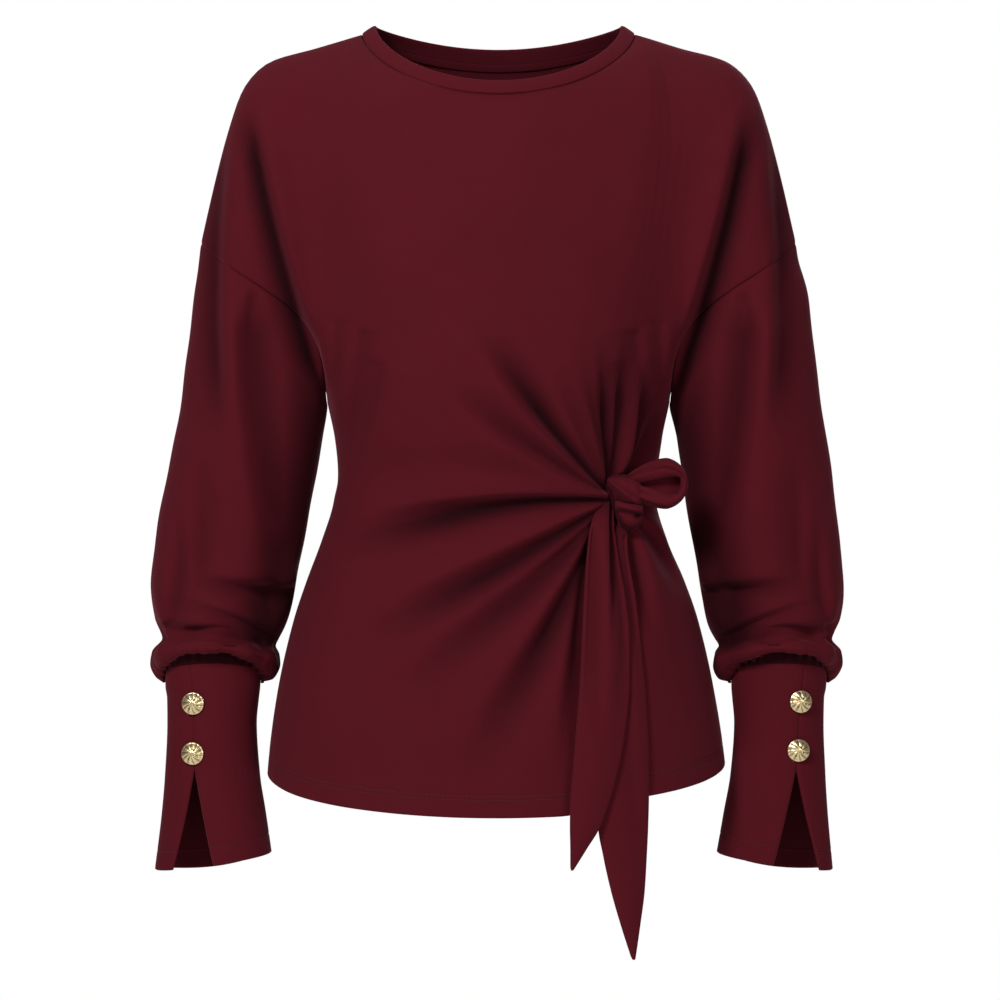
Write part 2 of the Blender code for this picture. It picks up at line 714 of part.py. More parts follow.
def sleeve_sheet(hand):
    """Rings of a sleeve, running down."""
    rings = [sleeve_ring(row, hand, False) for row in SLEEVE_ROWS]
    rings += [sleeve_ring(row, hand, True) for row in SLEEVE_FINE_ROWS]
    if hand == RIGHT:
        rings = [np.roll(ring[::-1], 1, axis=0) for ring in rings]
    return {"rings": rings, "closed": True}


def neck_angles(side):
    """Angles of the neckline points that a panel has."""
    across = spread(FRONT_COLUMNS if side == FRONT else BACK_COLUMNS)
    across = across[(across > NECK_SHARE - 1e-6) & (across < 1 - NECK_SHARE + 1e-6)]
    return math.pi * ((across - NECK_SHARE) / (1 - 2 * NECK_SHARE) - 0.5)


def neck_sheet():
    """Two rings of the binding, from its upper edge down to the neckline seam."""
    front = neck_angles(FRONT)
    back = neck_angles(BACK)[::-1]
    rings = []
    for edge in (binding_top, neck_seam):
        rings.append(np.concatenate([edge(front, FRONT)[:-1], edge(back, BACK)[:-1]]))
    return {"rings": rings, "closed": True}


def edge_shift(edge, inside, normals, tangents):
    """Moves the edge of a sheet by half the seam gap into its own cloth."""
    way = inside - edge
    way = way - normals * np.sum(way * normals, axis=-1, keepdims=True)
    way = way - tangents * np.sum(way * tangents, axis=-1, keepdims=True)
    return unit(way) * HALF_GAP


def open_tangents(edge, end_way=None):
    """Directions along an open edge."""
    tangents = np.gradient(edge, axis=0)
    if end_way is not None:
        tangents[0] = end_way
        tangents[-1] = end_way
    return unit(tangents)


def closed_tangents(ring):
    """Directions along a closed ring."""
    return unit(np.roll(ring, -1, axis=0) - np.roll(ring, 1, axis=0))


def part_panel(sheet, side):
    """Opens the seam gaps round a panel."""
    points = np.array(sheet["rings"])
    normals = np.array(sheet["normals"])
    upright = np.array([0.0, 1.0, 0.0])
    rows = UPPER_ROWS + 1
    shift = np.zeros(points.shape)
    across = spread(FRONT_COLUMNS if side == FRONT else BACK_COLUMNS)
    is_neck = (across > NECK_SHARE - 1e-6) & (across < 1 - NECK_SHARE + 1e-6)
    neck = np.where(is_neck)[0]
    neck_tangents = open_tangents(points[0, neck], upright)
    shift[0, neck] += edge_shift(points[0, neck], points[1, neck], normals[0, neck], neck_tangents)
    own = np.array(sheet["own_normals"])
    for column, inside in ((0, 1), (-1, -2)):
        edge = points[:rows, column]
        seam_tangents = open_tangents(edge, upright)
        inward = edge_shift(edge, points[:rows, inside], normals[:rows, column], seam_tangents)
        shift[:rows, column] += inward
        normals[:rows, column] = seam_normals(normals[:rows, column], own[:rows, column], unit(inward))
    for column in (0, -1):
        normals[:, column, 1] = np.where(np.abs(points[:, column, 1]) < 0.01, 0.0, normals[:, column, 1])
    shoulder = np.abs(points[0, :, 1]) < 0.01
    normals[0, shoulder, 1] = 0.0
    sheet["outer"] = list(points + shift)
    sheet["normals"] = list(unit(normals))


def part_sleeve(sheet):
    """Opens the seam gaps at the armhole and the cuff."""
    rings = [ring.copy() for ring in sheet["rings"]]
    normals = [n.copy() for n in sheet["normals"]]
    tangents = closed_tangents(rings[0])
    flat = np.abs(rings[0][:, 1]) < 0.01
    tangents[flat] = (0.0, 1.0, 0.0)
    normals[0][flat, 1] = 0.0
    normals[0] = unit(normals[0])
    inward = edge_shift(rings[0], rings[1], normals[0], tangents)
    rings[0] = rings[0] + inward
    normals[0] = seam_normals(normals[0], sheet["own_normals"][0], unit(inward))
    normals[0][flat, 1] = 0.0
    normals[0] = unit(normals[0])
    rings[-1][:, 2] = -CUFF_SEAM_DROP + HALF_GAP
    sheet["outer"] = rings
    sheet["normals"] = normals


def wall_of(outer, normals, thickness, closed):
    """Vertices and faces of a wall whose outer side is the sheet given."""
    inner = [ring - normal * thickness for ring, normal in zip(outer, normals)]
    faces = sheet_faces(outer, closed)
    count = sum(len(ring) for ring in outer)
    faces += [(a + count, c + count, b + count) for a, b, c in faces]
    top = list(range(len(outer[0])))
    bottom = list(range(count - len(outer[-1]), count))
    if closed:
        top.append(0)
        bottom.append(bottom[0])
        borders = (top[::-1], bottom)
    else:
        starts = np.concatenate([[0], np.cumsum([len(ring) for ring in outer])])
        left = [int(start) for start in starts[:-1]]
        right = [int(start) - 1 for start in starts[1:]]
        borders = (top[::-1], bottom, left, right[::-1])
    for border in borders:
        for a, b in zip(border[:-1], border[1:]):
            faces += [(a, a + count, b + count), (a, b + count, b)]
    return np.concatenate(outer + inner), faces


def make_material(name, color, roughness, metallic=0.0):
    """A plain surface of one colour."""
    material = bpy.data.materials.new(name)
    material.use_nodes = True
    shader = material.node_tree.nodes["Principled BSDF"]
    shader.inputs["Base Color"].default_value = (*color, 1.0)
    shader.inputs["Roughness"].default_value = roughness
    shader.inputs["Metallic"].default_value = metallic
    material.diffuse_color = (*color, 1.0)
    return material


def add_mesh(name, vertices, faces, material, collection, sharp_angle=60.0):
    """Adds one piece to the collection from its points in millimetres."""
    mesh = bpy.data.meshes.new(name)
    mesh.from_pydata([tuple(float(value) * MM for value in point) for point in vertices], [], faces)
    mesh.update()
    mesh.shade_smooth()
    mesh.set_sharp_from_angle(angle=math.radians(sharp_angle))
    mesh.materials.append(material)
    piece = bpy.data.objects.new(name, mesh)
    collection.objects.link(piece)
    return piece


CLOTH_GROUPS = (("front_panel", "back_panel"), ("sleeve_left", "sleeve_right"), ("neck_binding",))


def cloth_sheets():
    """The outer sides of panels, sleeves and binding, creased, with their shared normals."""
    sheets = {
        "front_panel": panel_sheet(FRONT),
        "back_panel": panel_sheet(BACK),
        "sleeve_left": sleeve_sheet(LEFT),
        "sleeve_right": sleeve_sheet(RIGHT),
        "neck_binding": neck_sheet(),
    }
    set_normals(sheets, CLOTH_GROUPS)
    for name, sheet in sheets.items():
        if name == "neck_binding":
            continue
        for k, (ring, normals) in enumerate(zip(sheet["rings"], sheet["normals"])):
            if name.endswith("panel"):
                height = body_creases(ring, normals)
            else:
                hand = LEFT if name == "sleeve_left" else RIGHT
                height = sleeve_creases(ring, normals, hand)
                row = (SLEEVE_ROWS + SLEEVE_FINE_ROWS)[k]
                start, end = CREASES_FADE
                height = height * (1 - smoothstep((row - start) / (end - start)))
                height = height + gather_height(row, len(ring))
            sheet["rings"][k] = ring + normals * height[:, None]
    set_normals(sheets, CLOTH_GROUPS)
    return sheets


def add_panels(sheets, material, collection):
    """Adds the front and the back."""
    for name, side in (("front_panel", FRONT), ("back_panel", BACK)):
        sheet = sheets[name]
        part_panel(sheet, side)
        vertices, faces = wall_of(sheet["outer"], sheet["normals"], JERSEY, False)
        keep_side = np.maximum if side == BACK else np.minimum
        vertices[:, 1] = keep_side(vertices[:, 1], side * HALF_GAP)
        add_mesh(name, vertices, faces, material, collection)


def add_sleeves(sheets, material, collection):
    """Adds both sleeves."""
    for name in ("sleeve_left", "sleeve_right"):
        sheet = sheets[name]
        part_sleeve(sheet)
        vertices, faces = wall_of(sheet["outer"], sheet["normals"], JERSEY, True)
        add_mesh(name, vertices, faces, material, collection)


def add_binding(sheets, material, collection):
    """Adds the band round the neck: a ring of closed sections standing on the neckline seam."""
    top, seam = sheets["neck_binding"]["rings"]
    seam_ways = sheets["neck_binding"]["normals"][1].copy()
    tangents = closed_tangents(seam)
    level = np.abs(seam[:, 1]) < 0.01
    tangents[level] = (0.0, 1.0, 0.0) * np.sign(tangents[level][:, 1:2])
    up = -edge_shift(seam, seam - (top - seam), seam_ways, tangents)
    rise = top - seam
    top_normals = unit(np.cross(-rise, closed_tangents(top)))
    section = (
        (0.0, 0.5),
        (0.4, 0.9),
        (0.8, 0.8),
        (0.97, 0.2),
        (1.0, -0.8),
        (0.9, -1.8),
        (0.45, -2.1),
        (0.0, -2.1),
    )
    rings = []
    for share, offset in section:
        normals = unit(seam_ways * (1 - share) + top_normals * share)
        rings.append(seam + up * (1 - share) + rise * share + normals * offset)
    rings.append(rings[0])
    vertices = np.concatenate(rings[:-1])
    count = len(seam)
    faces = []
    for k in range(len(section)):
        below = k * count
        above = ((k + 1) % len(section)) * count
        for i in range(count):
            j = (i + 1) % count
            faces += [(below + i, below + j, above + j), (below + i, above + j, above + i)]
    add_mesh("neck_binding", vertices, faces, material, collection)


def add_tape(sheets, material, collection):
    """Adds the strip over the back neck seam, inside the back panel."""
    sheet = sheets["back_panel"]
    across = spread(BACK_COLUMNS)[::-1]
    neck = np.where((across > NECK_SHARE + 1e-6) & (across < 1 - NECK_SHARE - 1e-6))[0]
    rings = []
    normals = []
    for share in TAPE_ROWS:
        inner = [sheet["outer"][k][neck] - sheet["normals"][k][neck] * JERSEY for k in (0, 1)]
        normal = unit(sheet["normals"][0][neck] * (1 - share) + sheet["normals"][1][neck] * share)
        rings.append(inner[0] * (1 - share) + inner[1] * share - normal * TAPE_GAP)
        normals.append(normal)
    vertices, faces = wall_of(rings, normals, TAPE_CLOTH, False)
    add_mesh("neck_tape", vertices, faces, material, collection)


def cuff_point(drop, angle, hand):
    """A point of a cuff, by its drop and its angle from the outer side over the front."""
    outer = read_table(CUFF, 1, drop)
    inner = read_table(CUFF, 2, drop)
    depth = read_table(CUFF, 3, drop)
    x = (outer + inner) / 2 + (outer - inner) / 2 * np.cos(angle)
    return np.stack([hand * x + sway(drop, hand), -depth * np.sin(angle), -drop], axis=-1)


def cuff_edge(angle):
    """Drop of the cuff's lower edge, which tilts outward and dips at the front."""
    return CUFF_EDGE + CUFF_EDGE_TILT * np.cos(angle) + CUFF_EDGE_DIP * np.sin(angle)


def add_cuff(name, hand, material, collection):
    """Adds one cuff: a band whose front seam opens into a slit."""
    rings = []
    rows = [(k / CUFF_ROWS_OVER, 0.0) for k in range(CUFF_ROWS_OVER + 1)]
    rows += [(1.0, (k + 1) / CUFF_ROWS_UNDER) for k in range(CUFF_ROWS_UNDER)]
    for over, under in rows:
        level = CUFF_SEAM_DROP + (SLIT_APEX - CUFF_SEAM_DROP) * over
        reach = level + (CUFF_EDGE - SLIT_APEX) * under
        middle = math.radians(float(read_table(SLIT_ANGLE, 1, reach)))
        radius = (float(read_table(CUFF, 1, reach)) - float(read_table(CUFF, 2, reach))) / 2
        opening = math.radians(SLIT_OPENING) * under + HALF_GAP / radius
        angle = np.linspace(middle + opening, middle - opening + 2 * math.pi, CUFF_COLUMNS + 1)
        rings.append(cuff_point(level + (cuff_edge(angle) - SLIT_APEX) * under, angle, hand))
    if hand == RIGHT:
        rings = [ring[::-1] for ring in rings]
    sheets = {name: {"rings": rings, "closed": False}}
    set_normals(sheets, ((name,),))
    normals = [n.copy() for n in sheets[name]["normals"]]
    rings[0][:, 2] = -CUFF_SEAM_DROP - HALF_GAP
    normals[0][:, 2] = 0.0
    normals[0] = unit(normals[0])
    for ring_normals in normals[:CUFF_ROWS_OVER + 1]:
        middle = unit(ring_normals[0] + ring_normals[-1])
        ring_normals[0] = middle
        ring_normals[-1] = middle
    vertices, faces = wall_of(rings, normals, CUFF_CLOTH, False)
    add_mesh(name, vertices, faces, material, collection)


def add_button(name, hand, drop, material, collection):
    """Adds a domed button with uneven rays, standing on the cuff over its seam."""
    angle = math.radians(float(read_table(SLIT_ANGLE, 1, drop)))
    step = 0.02
    here = cuff_point(np.array(drop), np.array(angle), hand)
    way_round = cuff_point(np.array(drop), np.array(angle + step), hand) - here
    way_down = cuff_point(np.array(drop + 1.0), np.array(angle), hand) - here
    outward = unit(np.cross(way_down, way_round)) * -hand
    mesh = bpy.data.meshes.new(name)
    body = bmesh.new()
    around, down = BUTTON_SEGMENTS
    bmesh.ops.create_uvsphere(body, u_segments=around, v_segments=down, radius=1.0)
    for vertex in body.verts:
        place = vertex.co.copy()
        turn = math.atan2(place.y, place.x)
        reach = math.hypot(place.x, place.y)
        rays = math.cos(BUTTON_RAYS * turn + BUTTON_SWIRL * math.sin(turn)) * math.sin(math.pi * reach)
        if place.z > 0:
            height = place.z * BUTTON_DOME + rays * BUTTON_RELIEF
        else:
            height = place.z * BUTTON_BACK
        vertex.co = Vector((place.x * BUTTON_RADIUS, place.y * BUTTON_RADIUS, height)) * MM
    body.to_mesh(mesh)
    body.free()
    mesh.shade_smooth()
    mesh.materials.append(material)
    piece = bpy.data.objects.new(name, mesh)
    collection.objects.link(piece)
    piece.rotation_euler = Vector(outward).to_track_quat("Z", "Y").to_euler()
    piece.location = (Vector(here) + Vector(outward) * (BUTTON_BACK + SEAM_GAP)) * MM


def front_depth(x, drop):
    """Depth of the plain front under a point seen from the front, and its outward direction."""
    drop = np.clip(drop, ARMPIT_DROP, TORSO[-1][0])
    half = read_table(TORSO, 1, drop)
    shift = read_table(TORSO, 2, drop)
    depth = read_table(TORSO, 3, drop)
    sine = np.clip((x - shift) / half, -0.98, 0.98)
    y = -depth * np.sqrt(1 - sine ** 2) ** TORSO_FULLNESS
    outward = unit(np.stack([(x - shift) / half ** 2, y / depth ** 2, 0 * y], axis=-1))
    return y, outward


def knot_dip(place, row):
    """Depth of one groove round the knot at a place on it."""
    height, slant, width, depth = row
    return depth * math.exp(-((place.z - height + slant * place.x) / width) ** 2)


def add_knot(material, collection):
    """Adds the knot: a rounded body with the wrap of one end over the other."""
    x, drop = KNOT_AT
    y, outward = front_depth(np.array(x), np.array(drop))
    outward = Vector(outward)
    mesh = bpy.data.meshes.new("tie_knot")
    body = bmesh.new()
    around, down = KNOT_SEGMENTS
    bmesh.ops.create_uvsphere(body, u_segments=around, v_segments=down, radius=1.0)
    for vertex in body.verts:
        place = vertex.co.copy()
        front = max(-place.y, 0.0)
        scale = 1 - sum(knot_dip(place, row) for row in KNOT_GROOVES) * front
        waist = 1 - knot_dip(place, KNOT_WAIST)
        vertex.co = Vector((
            place.x * KNOT_HALF[0] * scale * waist,
            place.y * KNOT_HALF[1] * scale,
            place.z * KNOT_HALF[2] * scale,
        )) * MM
    across = Vector((-outward.y, outward.x, 0.0))
    turn = Matrix((across, -outward, Vector((0, 0, 1)))).transposed().to_4x4()
    middle = Vector((x, float(y), -drop)) + outward * (KNOT_HALF[1] + KNOT_SEAT)
    body.transform(Matrix.Translation(middle * MM) @ turn)
    body.to_mesh(mesh)
    body.free()
    mesh.shade_smooth()
    mesh.materials.append(material)
    collection.objects.link(bpy.data.objects.new("tie_knot", mesh))


def add_loop(material, collection):
    """Adds the loop: a strip bent round on itself, its edges curling in to a slit."""
    turns = np.radians(np.linspace(180 - LOOP_OPENING, -180 + LOOP_OPENING, 15))
    curls = np.radians(np.linspace(-LOOP_WRAP, LOOP_WRAP, 8))
    tilt = math.radians(LOOP_TILT)
    rings = []
    for turn in turns:
        outer = np.array([LOOP_HALF[0] * math.cos(turn), LOOP_HALF[1] * math.sin(turn)])
        slit = np.array([LOOP_SLIT_HALF[0] * math.cos(turn), LOOP_SLIT_HALF[1] * math.sin(turn)])
        slit = np.array([
            slit[0] * math.cos(tilt) - slit[1] * math.sin(tilt),
            slit[0] * math.sin(tilt) + slit[1] * math.cos(tilt),
        ])
        outer = outer + (LOOP_AT[0], -LOOP_AT[1])
        slit = slit + (LOOP_SLIT_AT[0], -LOOP_SLIT_AT[1])
        root = float(smoothstep((abs(turn) - LOOP_NARROWS) / (math.pi - LOOP_NARROWS)))
        root_at = np.array([LOOP_ROOT[0], -LOOP_ROOT[1] + math.copysign(LOOP_ROOT[2], turn)])
        middle = (outer + slit) / 2 * (1 - root) + root_at * root
        arm = (outer - slit) / 2 * (1 - 0.5 * root)
        reach = middle[None] + arm[None] * np.cos(curls)[:, None]
        depth = LOOP_MIDDLE_Y + LOOP_HALF_DEPTH * (1 - 0.4 * root) * np.sin(curls)
        rings.append(np.stack([reach[:, 0], depth, reach[:, 1]], axis=-1))
    sheets = {"loop": {"rings": rings, "closed": False}}
    set_normals(sheets, (("loop",),))
    vertices, faces = wall_of(rings, sheets["loop"]["normals"], LOOP_CLOTH, False)
    add_mesh("tie_loop", vertices, faces, material, collection)


def add_tail(name, table, material, collection):
    """Adds one hanging end: a strip over the front, folded to a soft crown, down to its point."""
    share = np.linspace(0, 1, TAIL_COLUMNS + 1)
    rings = []
    normals = []
    for drop, left, right, clear in table:
        x = left + (right - left) * share
        y = front_depth(x, np.full(x.shape, drop))[0]
        y = y - clear - TIE_CLOTH - TAIL_CROWN * np.sin(math.pi * share) * min(1.0, (right - left) / 20)
        rings.append(np.stack([x, y, np.full(x.shape, -drop)], axis=-1))
        outward = front_depth(np.array((left + right) / 2), np.array(drop))[1]
        normals.append(np.tile(outward, (len(share), 1)))
    vertices, faces = wall_of(rings, normals, TIE_CLOTH, False)
    add_mesh(name, vertices, faces, material, collection)


def main():
    for leftover in list(bpy.data.objects):
        bpy.data.objects.remove(leftover)
    collection = bpy.data.collections.new("tie_waist_sweatshirt")
    bpy.context.scene.collection.children.link(collection)
    jersey = make_material("wine_jersey", (0.085, 0.006, 0.012), 0.85)
    rib = make_material("wine_binding", (0.085, 0.006, 0.012), 0.85)
    gold = make_material("polished_gold", (0.83, 0.62, 0.30), 0.22, 1.0)
    sheets = cloth_sheets()
    add_panels(sheets, jersey, collection)
    add_sleeves(sheets, jersey, collection)
    add_binding(sheets, rib, collection)
    add_tape(sheets, rib, collection)
    for hand, word in ((LEFT, "left"), (RIGHT, "right")):
        add_cuff("cuff_" + word, hand, jersey, collection)
        for place, drop in BUTTON_DROPS.items():
            add_button("button_" + word + "_" + place, hand, drop, gold, collection)
    add_knot(jersey, collection)
    add_loop(jersey, collection)
    add_tail("tie_tail_front", TAIL_FRONT, jersey, collection)
    add_tail("tie_tail_back", TAIL_BACK, jersey, collection)


main()
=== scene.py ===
"""Looks of the tie-waist sweatshirt: cloth, tie, buttons, stitching and stage.

Tables give sizes in millimetres, and heights as the drop below the origin. The front faces -Y.
"""
import math

import bmesh
import bpy
import numpy as np
from bpy.props import FloatProperty, FloatVectorProperty, PointerProperty
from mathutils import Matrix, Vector


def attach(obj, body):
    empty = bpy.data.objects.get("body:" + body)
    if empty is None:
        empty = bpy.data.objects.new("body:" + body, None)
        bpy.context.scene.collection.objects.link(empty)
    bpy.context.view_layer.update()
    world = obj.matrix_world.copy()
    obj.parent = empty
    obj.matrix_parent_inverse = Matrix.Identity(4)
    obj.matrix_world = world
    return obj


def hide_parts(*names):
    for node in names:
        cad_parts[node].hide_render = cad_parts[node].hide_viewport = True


bl_info = {
    "name": "Tie-waist sweatshirt",
    "version": (1, 0, 0),
    "blender": (4, 5, 0),
    "location": "3D View > Sidebar > Sweatshirt",
    "description": "Makes the cloth, tie, buttons and stitching of a tie-waist sweatshirt",
    "category": "Add Mesh",
}

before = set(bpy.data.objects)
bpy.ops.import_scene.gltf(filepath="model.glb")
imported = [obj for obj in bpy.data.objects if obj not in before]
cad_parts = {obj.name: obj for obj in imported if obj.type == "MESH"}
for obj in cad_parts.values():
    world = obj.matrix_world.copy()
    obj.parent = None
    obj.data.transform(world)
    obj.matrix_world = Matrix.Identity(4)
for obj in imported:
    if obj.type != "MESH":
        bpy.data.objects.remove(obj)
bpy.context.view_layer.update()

MM = 0.001
FRONT = -1
BACK = 1
LEFT = -1
RIGHT = 1
SIDES = {"front": FRONT, "back": BACK}
HANDS = {"left": LEFT, "right": RIGHT}

# Shoulder line from the drop point to the neck: distance from the middle, drop
SHOULDER = (
    (232.0, 167.0),
    (220.0, 114.5),
    (208.0, 71.0),
    (199.0, 47.5),
    (188.0, 33.0),
    (175.0, 24.0),
    (140.0, 14.0),
    (106.0, 3.4),
)

# Neckline seam and the top of its binding: half width, drop at the sides, depth, dip in the middle
NECK_SEAM = (106.0, 3.4, {FRONT: 80.0, BACK: 62.0}, {FRONT: 54.4, BACK: 16.6})
BINDING_TOP = (95.8, -3.4, {FRONT: 75.0, BACK: 60.0}, {FRONT: 50.4, BACK: 11.8})
NECK_CURVE = {FRONT: 1.2, BACK: 2.3}

# Torso: drop, half width, shift to the right, front depth, back depth
TORSO = (
    (292.0, 133.0, 0.0, 118.0, 100.0),
    (320.0, 127.3, 0.0, 112.0, 92.0),
    (351.0, 124.2, -1.0, 100.0, 84.0),
    (367.0, 125.6, -2.7, 97.0, 84.0),
    (398.0, 134.5, -3.2, 104.0, 92.0),
    (429.0, 147.0, -2.3, 113.0, 104.0),
    (460.0, 157.5, -2.0, 120.0, 114.0),
    (507.0, 168.5, -2.0, 126.0, 124.0),
    (554.0, 176.0, -1.6, 130.0, 128.0),
    (604.0, 181.0, -1.0, 131.0, 130.0),
)
TORSO_FULLNESS = 0.9
TORSO_SINE = 0.98
ARMPIT_DROP = 292.0
ARMPIT_HALF = 133.0
HEM_DROP = 577.0
HEM_DIP = {FRONT: 26.6, BACK: 24.0}

# How far the hem rises at the right, and the sine of the angle where it starts and its run
HEM_LIFT = 8.4
HEM_LIFT_FROM = (0.25, 0.4)

# Armhole: half depth, how far its two edges rise above a straight cut, and its shape
ARMHOLE_DEPTH = 55.0
ARMHOLE_LIFT = {FRONT: 25.0, BACK: 15.0}
ARMHOLE_POINT = 1.9
LIFT_POINT = 1.5

# Across a panel: share from the side to the neck point, and the angle it meets the armpit ring at
NECK_SHARE = 0.25
PANEL_ANGLES = (
    (0.0, 90.0),
    (0.142, 72.0),
    (0.25, 50.0),
    (0.5, 0.0),
)

# How strongly the cloth rolls over the shoulder and hangs into the armpit ring
SHOULDER_ROLL = ((0.0, 390.0), (0.5, 350.0), (1.0, 260.0))
CORNER_ROLL = 210.0
CORNER_SLOPE = (120.0, -38.0)
NECK_ROLL = {FRONT: 220.0, BACK: 230.0}
NECK_BLEND = 55.0
CORNER_SPREAD = 0.11
CORNER_SAMPLES = 11
CORNER_WEIGHT = 0.02
CORNER_FADE = 0.4
RING_STEP = 4.0
RING_PULL = 200.0
ARMHOLE_REACH = 0.22

# Sleeve: outer distance, outer drop, inner distance, inner drop, half depth, lift of front and back
SLEEVE = (
    (232.0, 167.0, 133.0, 292.0, 55.0, 0.0),
    (236.0, 205.0, 136.0, 315.0, 57.0, 0.0),
    (242.0, 250.0, 141.0, 345.0, 56.0, 0.0),
    (249.0, 300.0, 147.0, 380.0, 54.0, 0.0),
    (258.0, 350.0, 154.0, 415.0, 52.0, 0.0),
    (266.0, 400.0, 160.0, 445.0, 50.0, 0.0),
    (269.5, 435.0, 166.0, 465.0, 48.0, 2.0),
    (267.5, 458.0, 171.0, 475.0, 46.0, 4.0),
    (261.0, 475.0, 174.5, 482.0, 41.0, 6.0),
    (269.0, 486.0, 171.2, 490.0, 46.5, 11.0),
    (270.6, 495.0, 170.4, 497.5, 46.5, 16.0),
    (266.0, 504.5, 176.0, 507.0, 41.5, 21.5),
    (260.8, 507.4, 184.8, 509.2, 33.0, 25.5),
    (260.3, 501.4, 185.1, 501.4, 31.6, 9.0),
)
SLEEVE_TABLE = tuple((float(k),) + row for k, row in enumerate(SLEEVE))
SLEEVE_ROUND_FROM = 3.0

# How far the right arm hangs to the right of the left one's mirror image: drop, shift
RIGHT_SWAY = (
    (167.0, 0.0),
    (195.0, 3.6),
    (220.0, 4.3),
    (300.0, 4.3),
    (335.0, 2.8),
    (360.0, 1.6),
    (405.0, 0.2),
    (440.0, 0.0),
    (470.0, -2.6),
    (500.0, -3.6),
    (522.0, -4.5),
    (570.0, -4.9),
    (616.0, -5.9),
    (655.0, -7.2),
)
SWAY_FROM = 1.2

# Gathers and pleats at the end of a sleeve: row, height
GATHER_HEIGHT = (
    (5.5, 0.0), (7.0, 0.6), (8.0, 1.6), (9.0, 1.3), (10.0, 1.0), (11.0, 0.8), (12.0, 0.5), (13.0, 0.0),
)
PLEAT_HEIGHT = ((7.0, 0.0), (9.0, 0.1), (10.5, 0.15), (11.3, 0.4), (12.2, 1.1), (13.0, 0.0))

# Their number, and how their spacing and then their height vary: size, times round, phase
GATHERS = (9, (0.9, 2, 1.0), (0.3, 3, 2.0))
PLEATS = (31, (1.3, 3, 0.0), (0.5, 5, 0.7))

# Rows of a sleeve over which its folds fade: first row, number of rows
SLEEVE_CALM = (7.0, 2.0)
SLEEVE_WAVES = 1.6

# Cuff: drop, outer distance, inner distance, half depth
CUFF = (
    (489.0, 258.9, 186.2, 30.5),
    (505.0, 259.8, 185.5, 30.8),
    (512.0, 259.7, 185.8, 30.9),
    (521.0, 258.4, 186.8, 30.7),
    (540.0, 258.2, 188.5, 30.5),
    (580.0, 260.0, 186.0, 32.0),
    (610.0, 262.5, 181.4, 34.0),
    (655.0, 268.0, 174.9, 36.5),
)
CUFF_SEAM_DROP = 492.4
CUFF_SEAM_ARCH = 9.0
CUFF_EDGE = 647.0
CUFF_EDGE_TILT = 6.5
CUFF_EDGE_DIP = 1.0
CUFF_BACK_DIP = 8.5
CUFF_WALL = 1.9
SLIT_APEX = 571.6

# Middle of each cuff's seam and slit: drop, angle in degrees from the outer side over the front
SLIT_ANGLE = {
    LEFT: ((489.0, 62.3), (523.7, 68.7), (562.4, 69.2), (572.0, 71.0), (655.0, 70.0)),
    RIGHT: ((489.0, 61.4), (523.7, 65.2), (562.4, 68.8), (572.0, 70.5), (655.0, 66.7)),
}

# Half the angle of each slit at its lower edge, half the gap of the seam above, and the buttons
SLIT_OPENING = {LEFT: 22.6, RIGHT: 26.6}
SLIT_GAP = 0.004
BUTTON_DROPS = {"upper": {LEFT: 523.7, RIGHT: 522.3}, "lower": {LEFT: 562.4, RIGHT: 560.0}}

# Button: rings and rays of its grid, radius, dome, thickness behind its face, and how it stands
BUTTON_RINGS = 24
BUTTON_RAYS = 96
BUTTON_RADIUS = 8.9
BUTTON_DOME = (3.9, 2.4)
BUTTON_BACK = 1.3
BUTTON_TAPER = 0.93
BUTTON_STANDS = 1.7
BUTTON_TAPERS_AT = 0.4
BUTTON_FACES_FRONT = 0.55
ANGLE_STEP = 0.02
DROP_STEP = 1.0

# Relief of a button. Rays: angle, width, depth. Pits: across, up, size, as shares of the radius
BUTTON_CUTS = (
    (0.35, 0.26, 0.55), (0.95, 0.18, 0.4), (1.6, 0.3, 0.5), (2.25, 0.2, 0.45), (2.9, 0.28, 0.55),
    (3.5, 0.18, 0.4), (4.1, 0.26, 0.5), (4.75, 0.2, 0.5), (5.35, 0.28, 0.45), (5.95, 0.16, 0.35),
)
BUTTON_PITS = ((0.16, 0.3, 0.1), (0.42, -0.22, 0.09), (0.1, -0.12, 0.07), (-0.3, -0.45, 0.06))
CUT_SWIRL = 0.35
CUT_WIDTH = 0.55
# Painted shade along the cuts: strength, and width as a share of a cut's
CUT_PAINTED_SHADE = (0.75, 0.42)
CUT_STARTS = (0.12, 0.3)
CUT_ENDS = (0.6, 0.8, 0.2)
PIT_DEPTH = 0.5
# Painted shade in each pit mark: strength, and size as a share of its own
PIT_PAINTED_SHADE = (0.9, 0.9)
BUTTON_RIM = (0.35, 0.95, 0.05)

# Lines of the fine grids: from, to, number of strips
FRONT_LINES = (
    (0.0, 0.01, 4),
    (0.01, 0.2, 22),
    (0.2, 0.25, 8),
    (0.25, 0.56, 38),
    (0.56, 0.66, 20),
    (0.66, 0.84, 50),
    (0.84, 0.93, 14),
    (0.93, 0.99, 9),
    (0.99, 1.0, 4),
)
BACK_LINES = (
    (0.0, 0.01, 3),
    (0.01, 0.2, 26),
    (0.2, 0.3, 16),
    (0.3, 0.7, 50),
    (0.7, 0.8, 16),
    (0.8, 0.99, 26),
    (0.99, 1.0, 3),
)
UPPER_LINES = ((0.0, 0.012, 5), (0.012, 0.1, 10), (0.1, 0.6, 34), (0.6, 1.0, 40))
LOWER_LINES = {
    FRONT: (
        (1.0, 1.12, 18), (1.12, 1.4, 84), (1.4, 1.6, 30), (1.6, 1.93, 28), (1.93, 1.968, 14),
        (1.968, 2.0, 6),
    ),
    BACK: ((1.0, 1.4, 34), (1.4, 1.93, 36), (1.93, 1.968, 14), (1.968, 2.0, 6)),
}
SLEEVE_LINES = ((0.0, 0.1, 6), (0.1, 6.0, 92), (6.0, 9.0, 36), (9.0, 13.0, 50))
SLEEVE_ROUND = 176
NECK_ROUND = 150
CUFF_LINES = 132
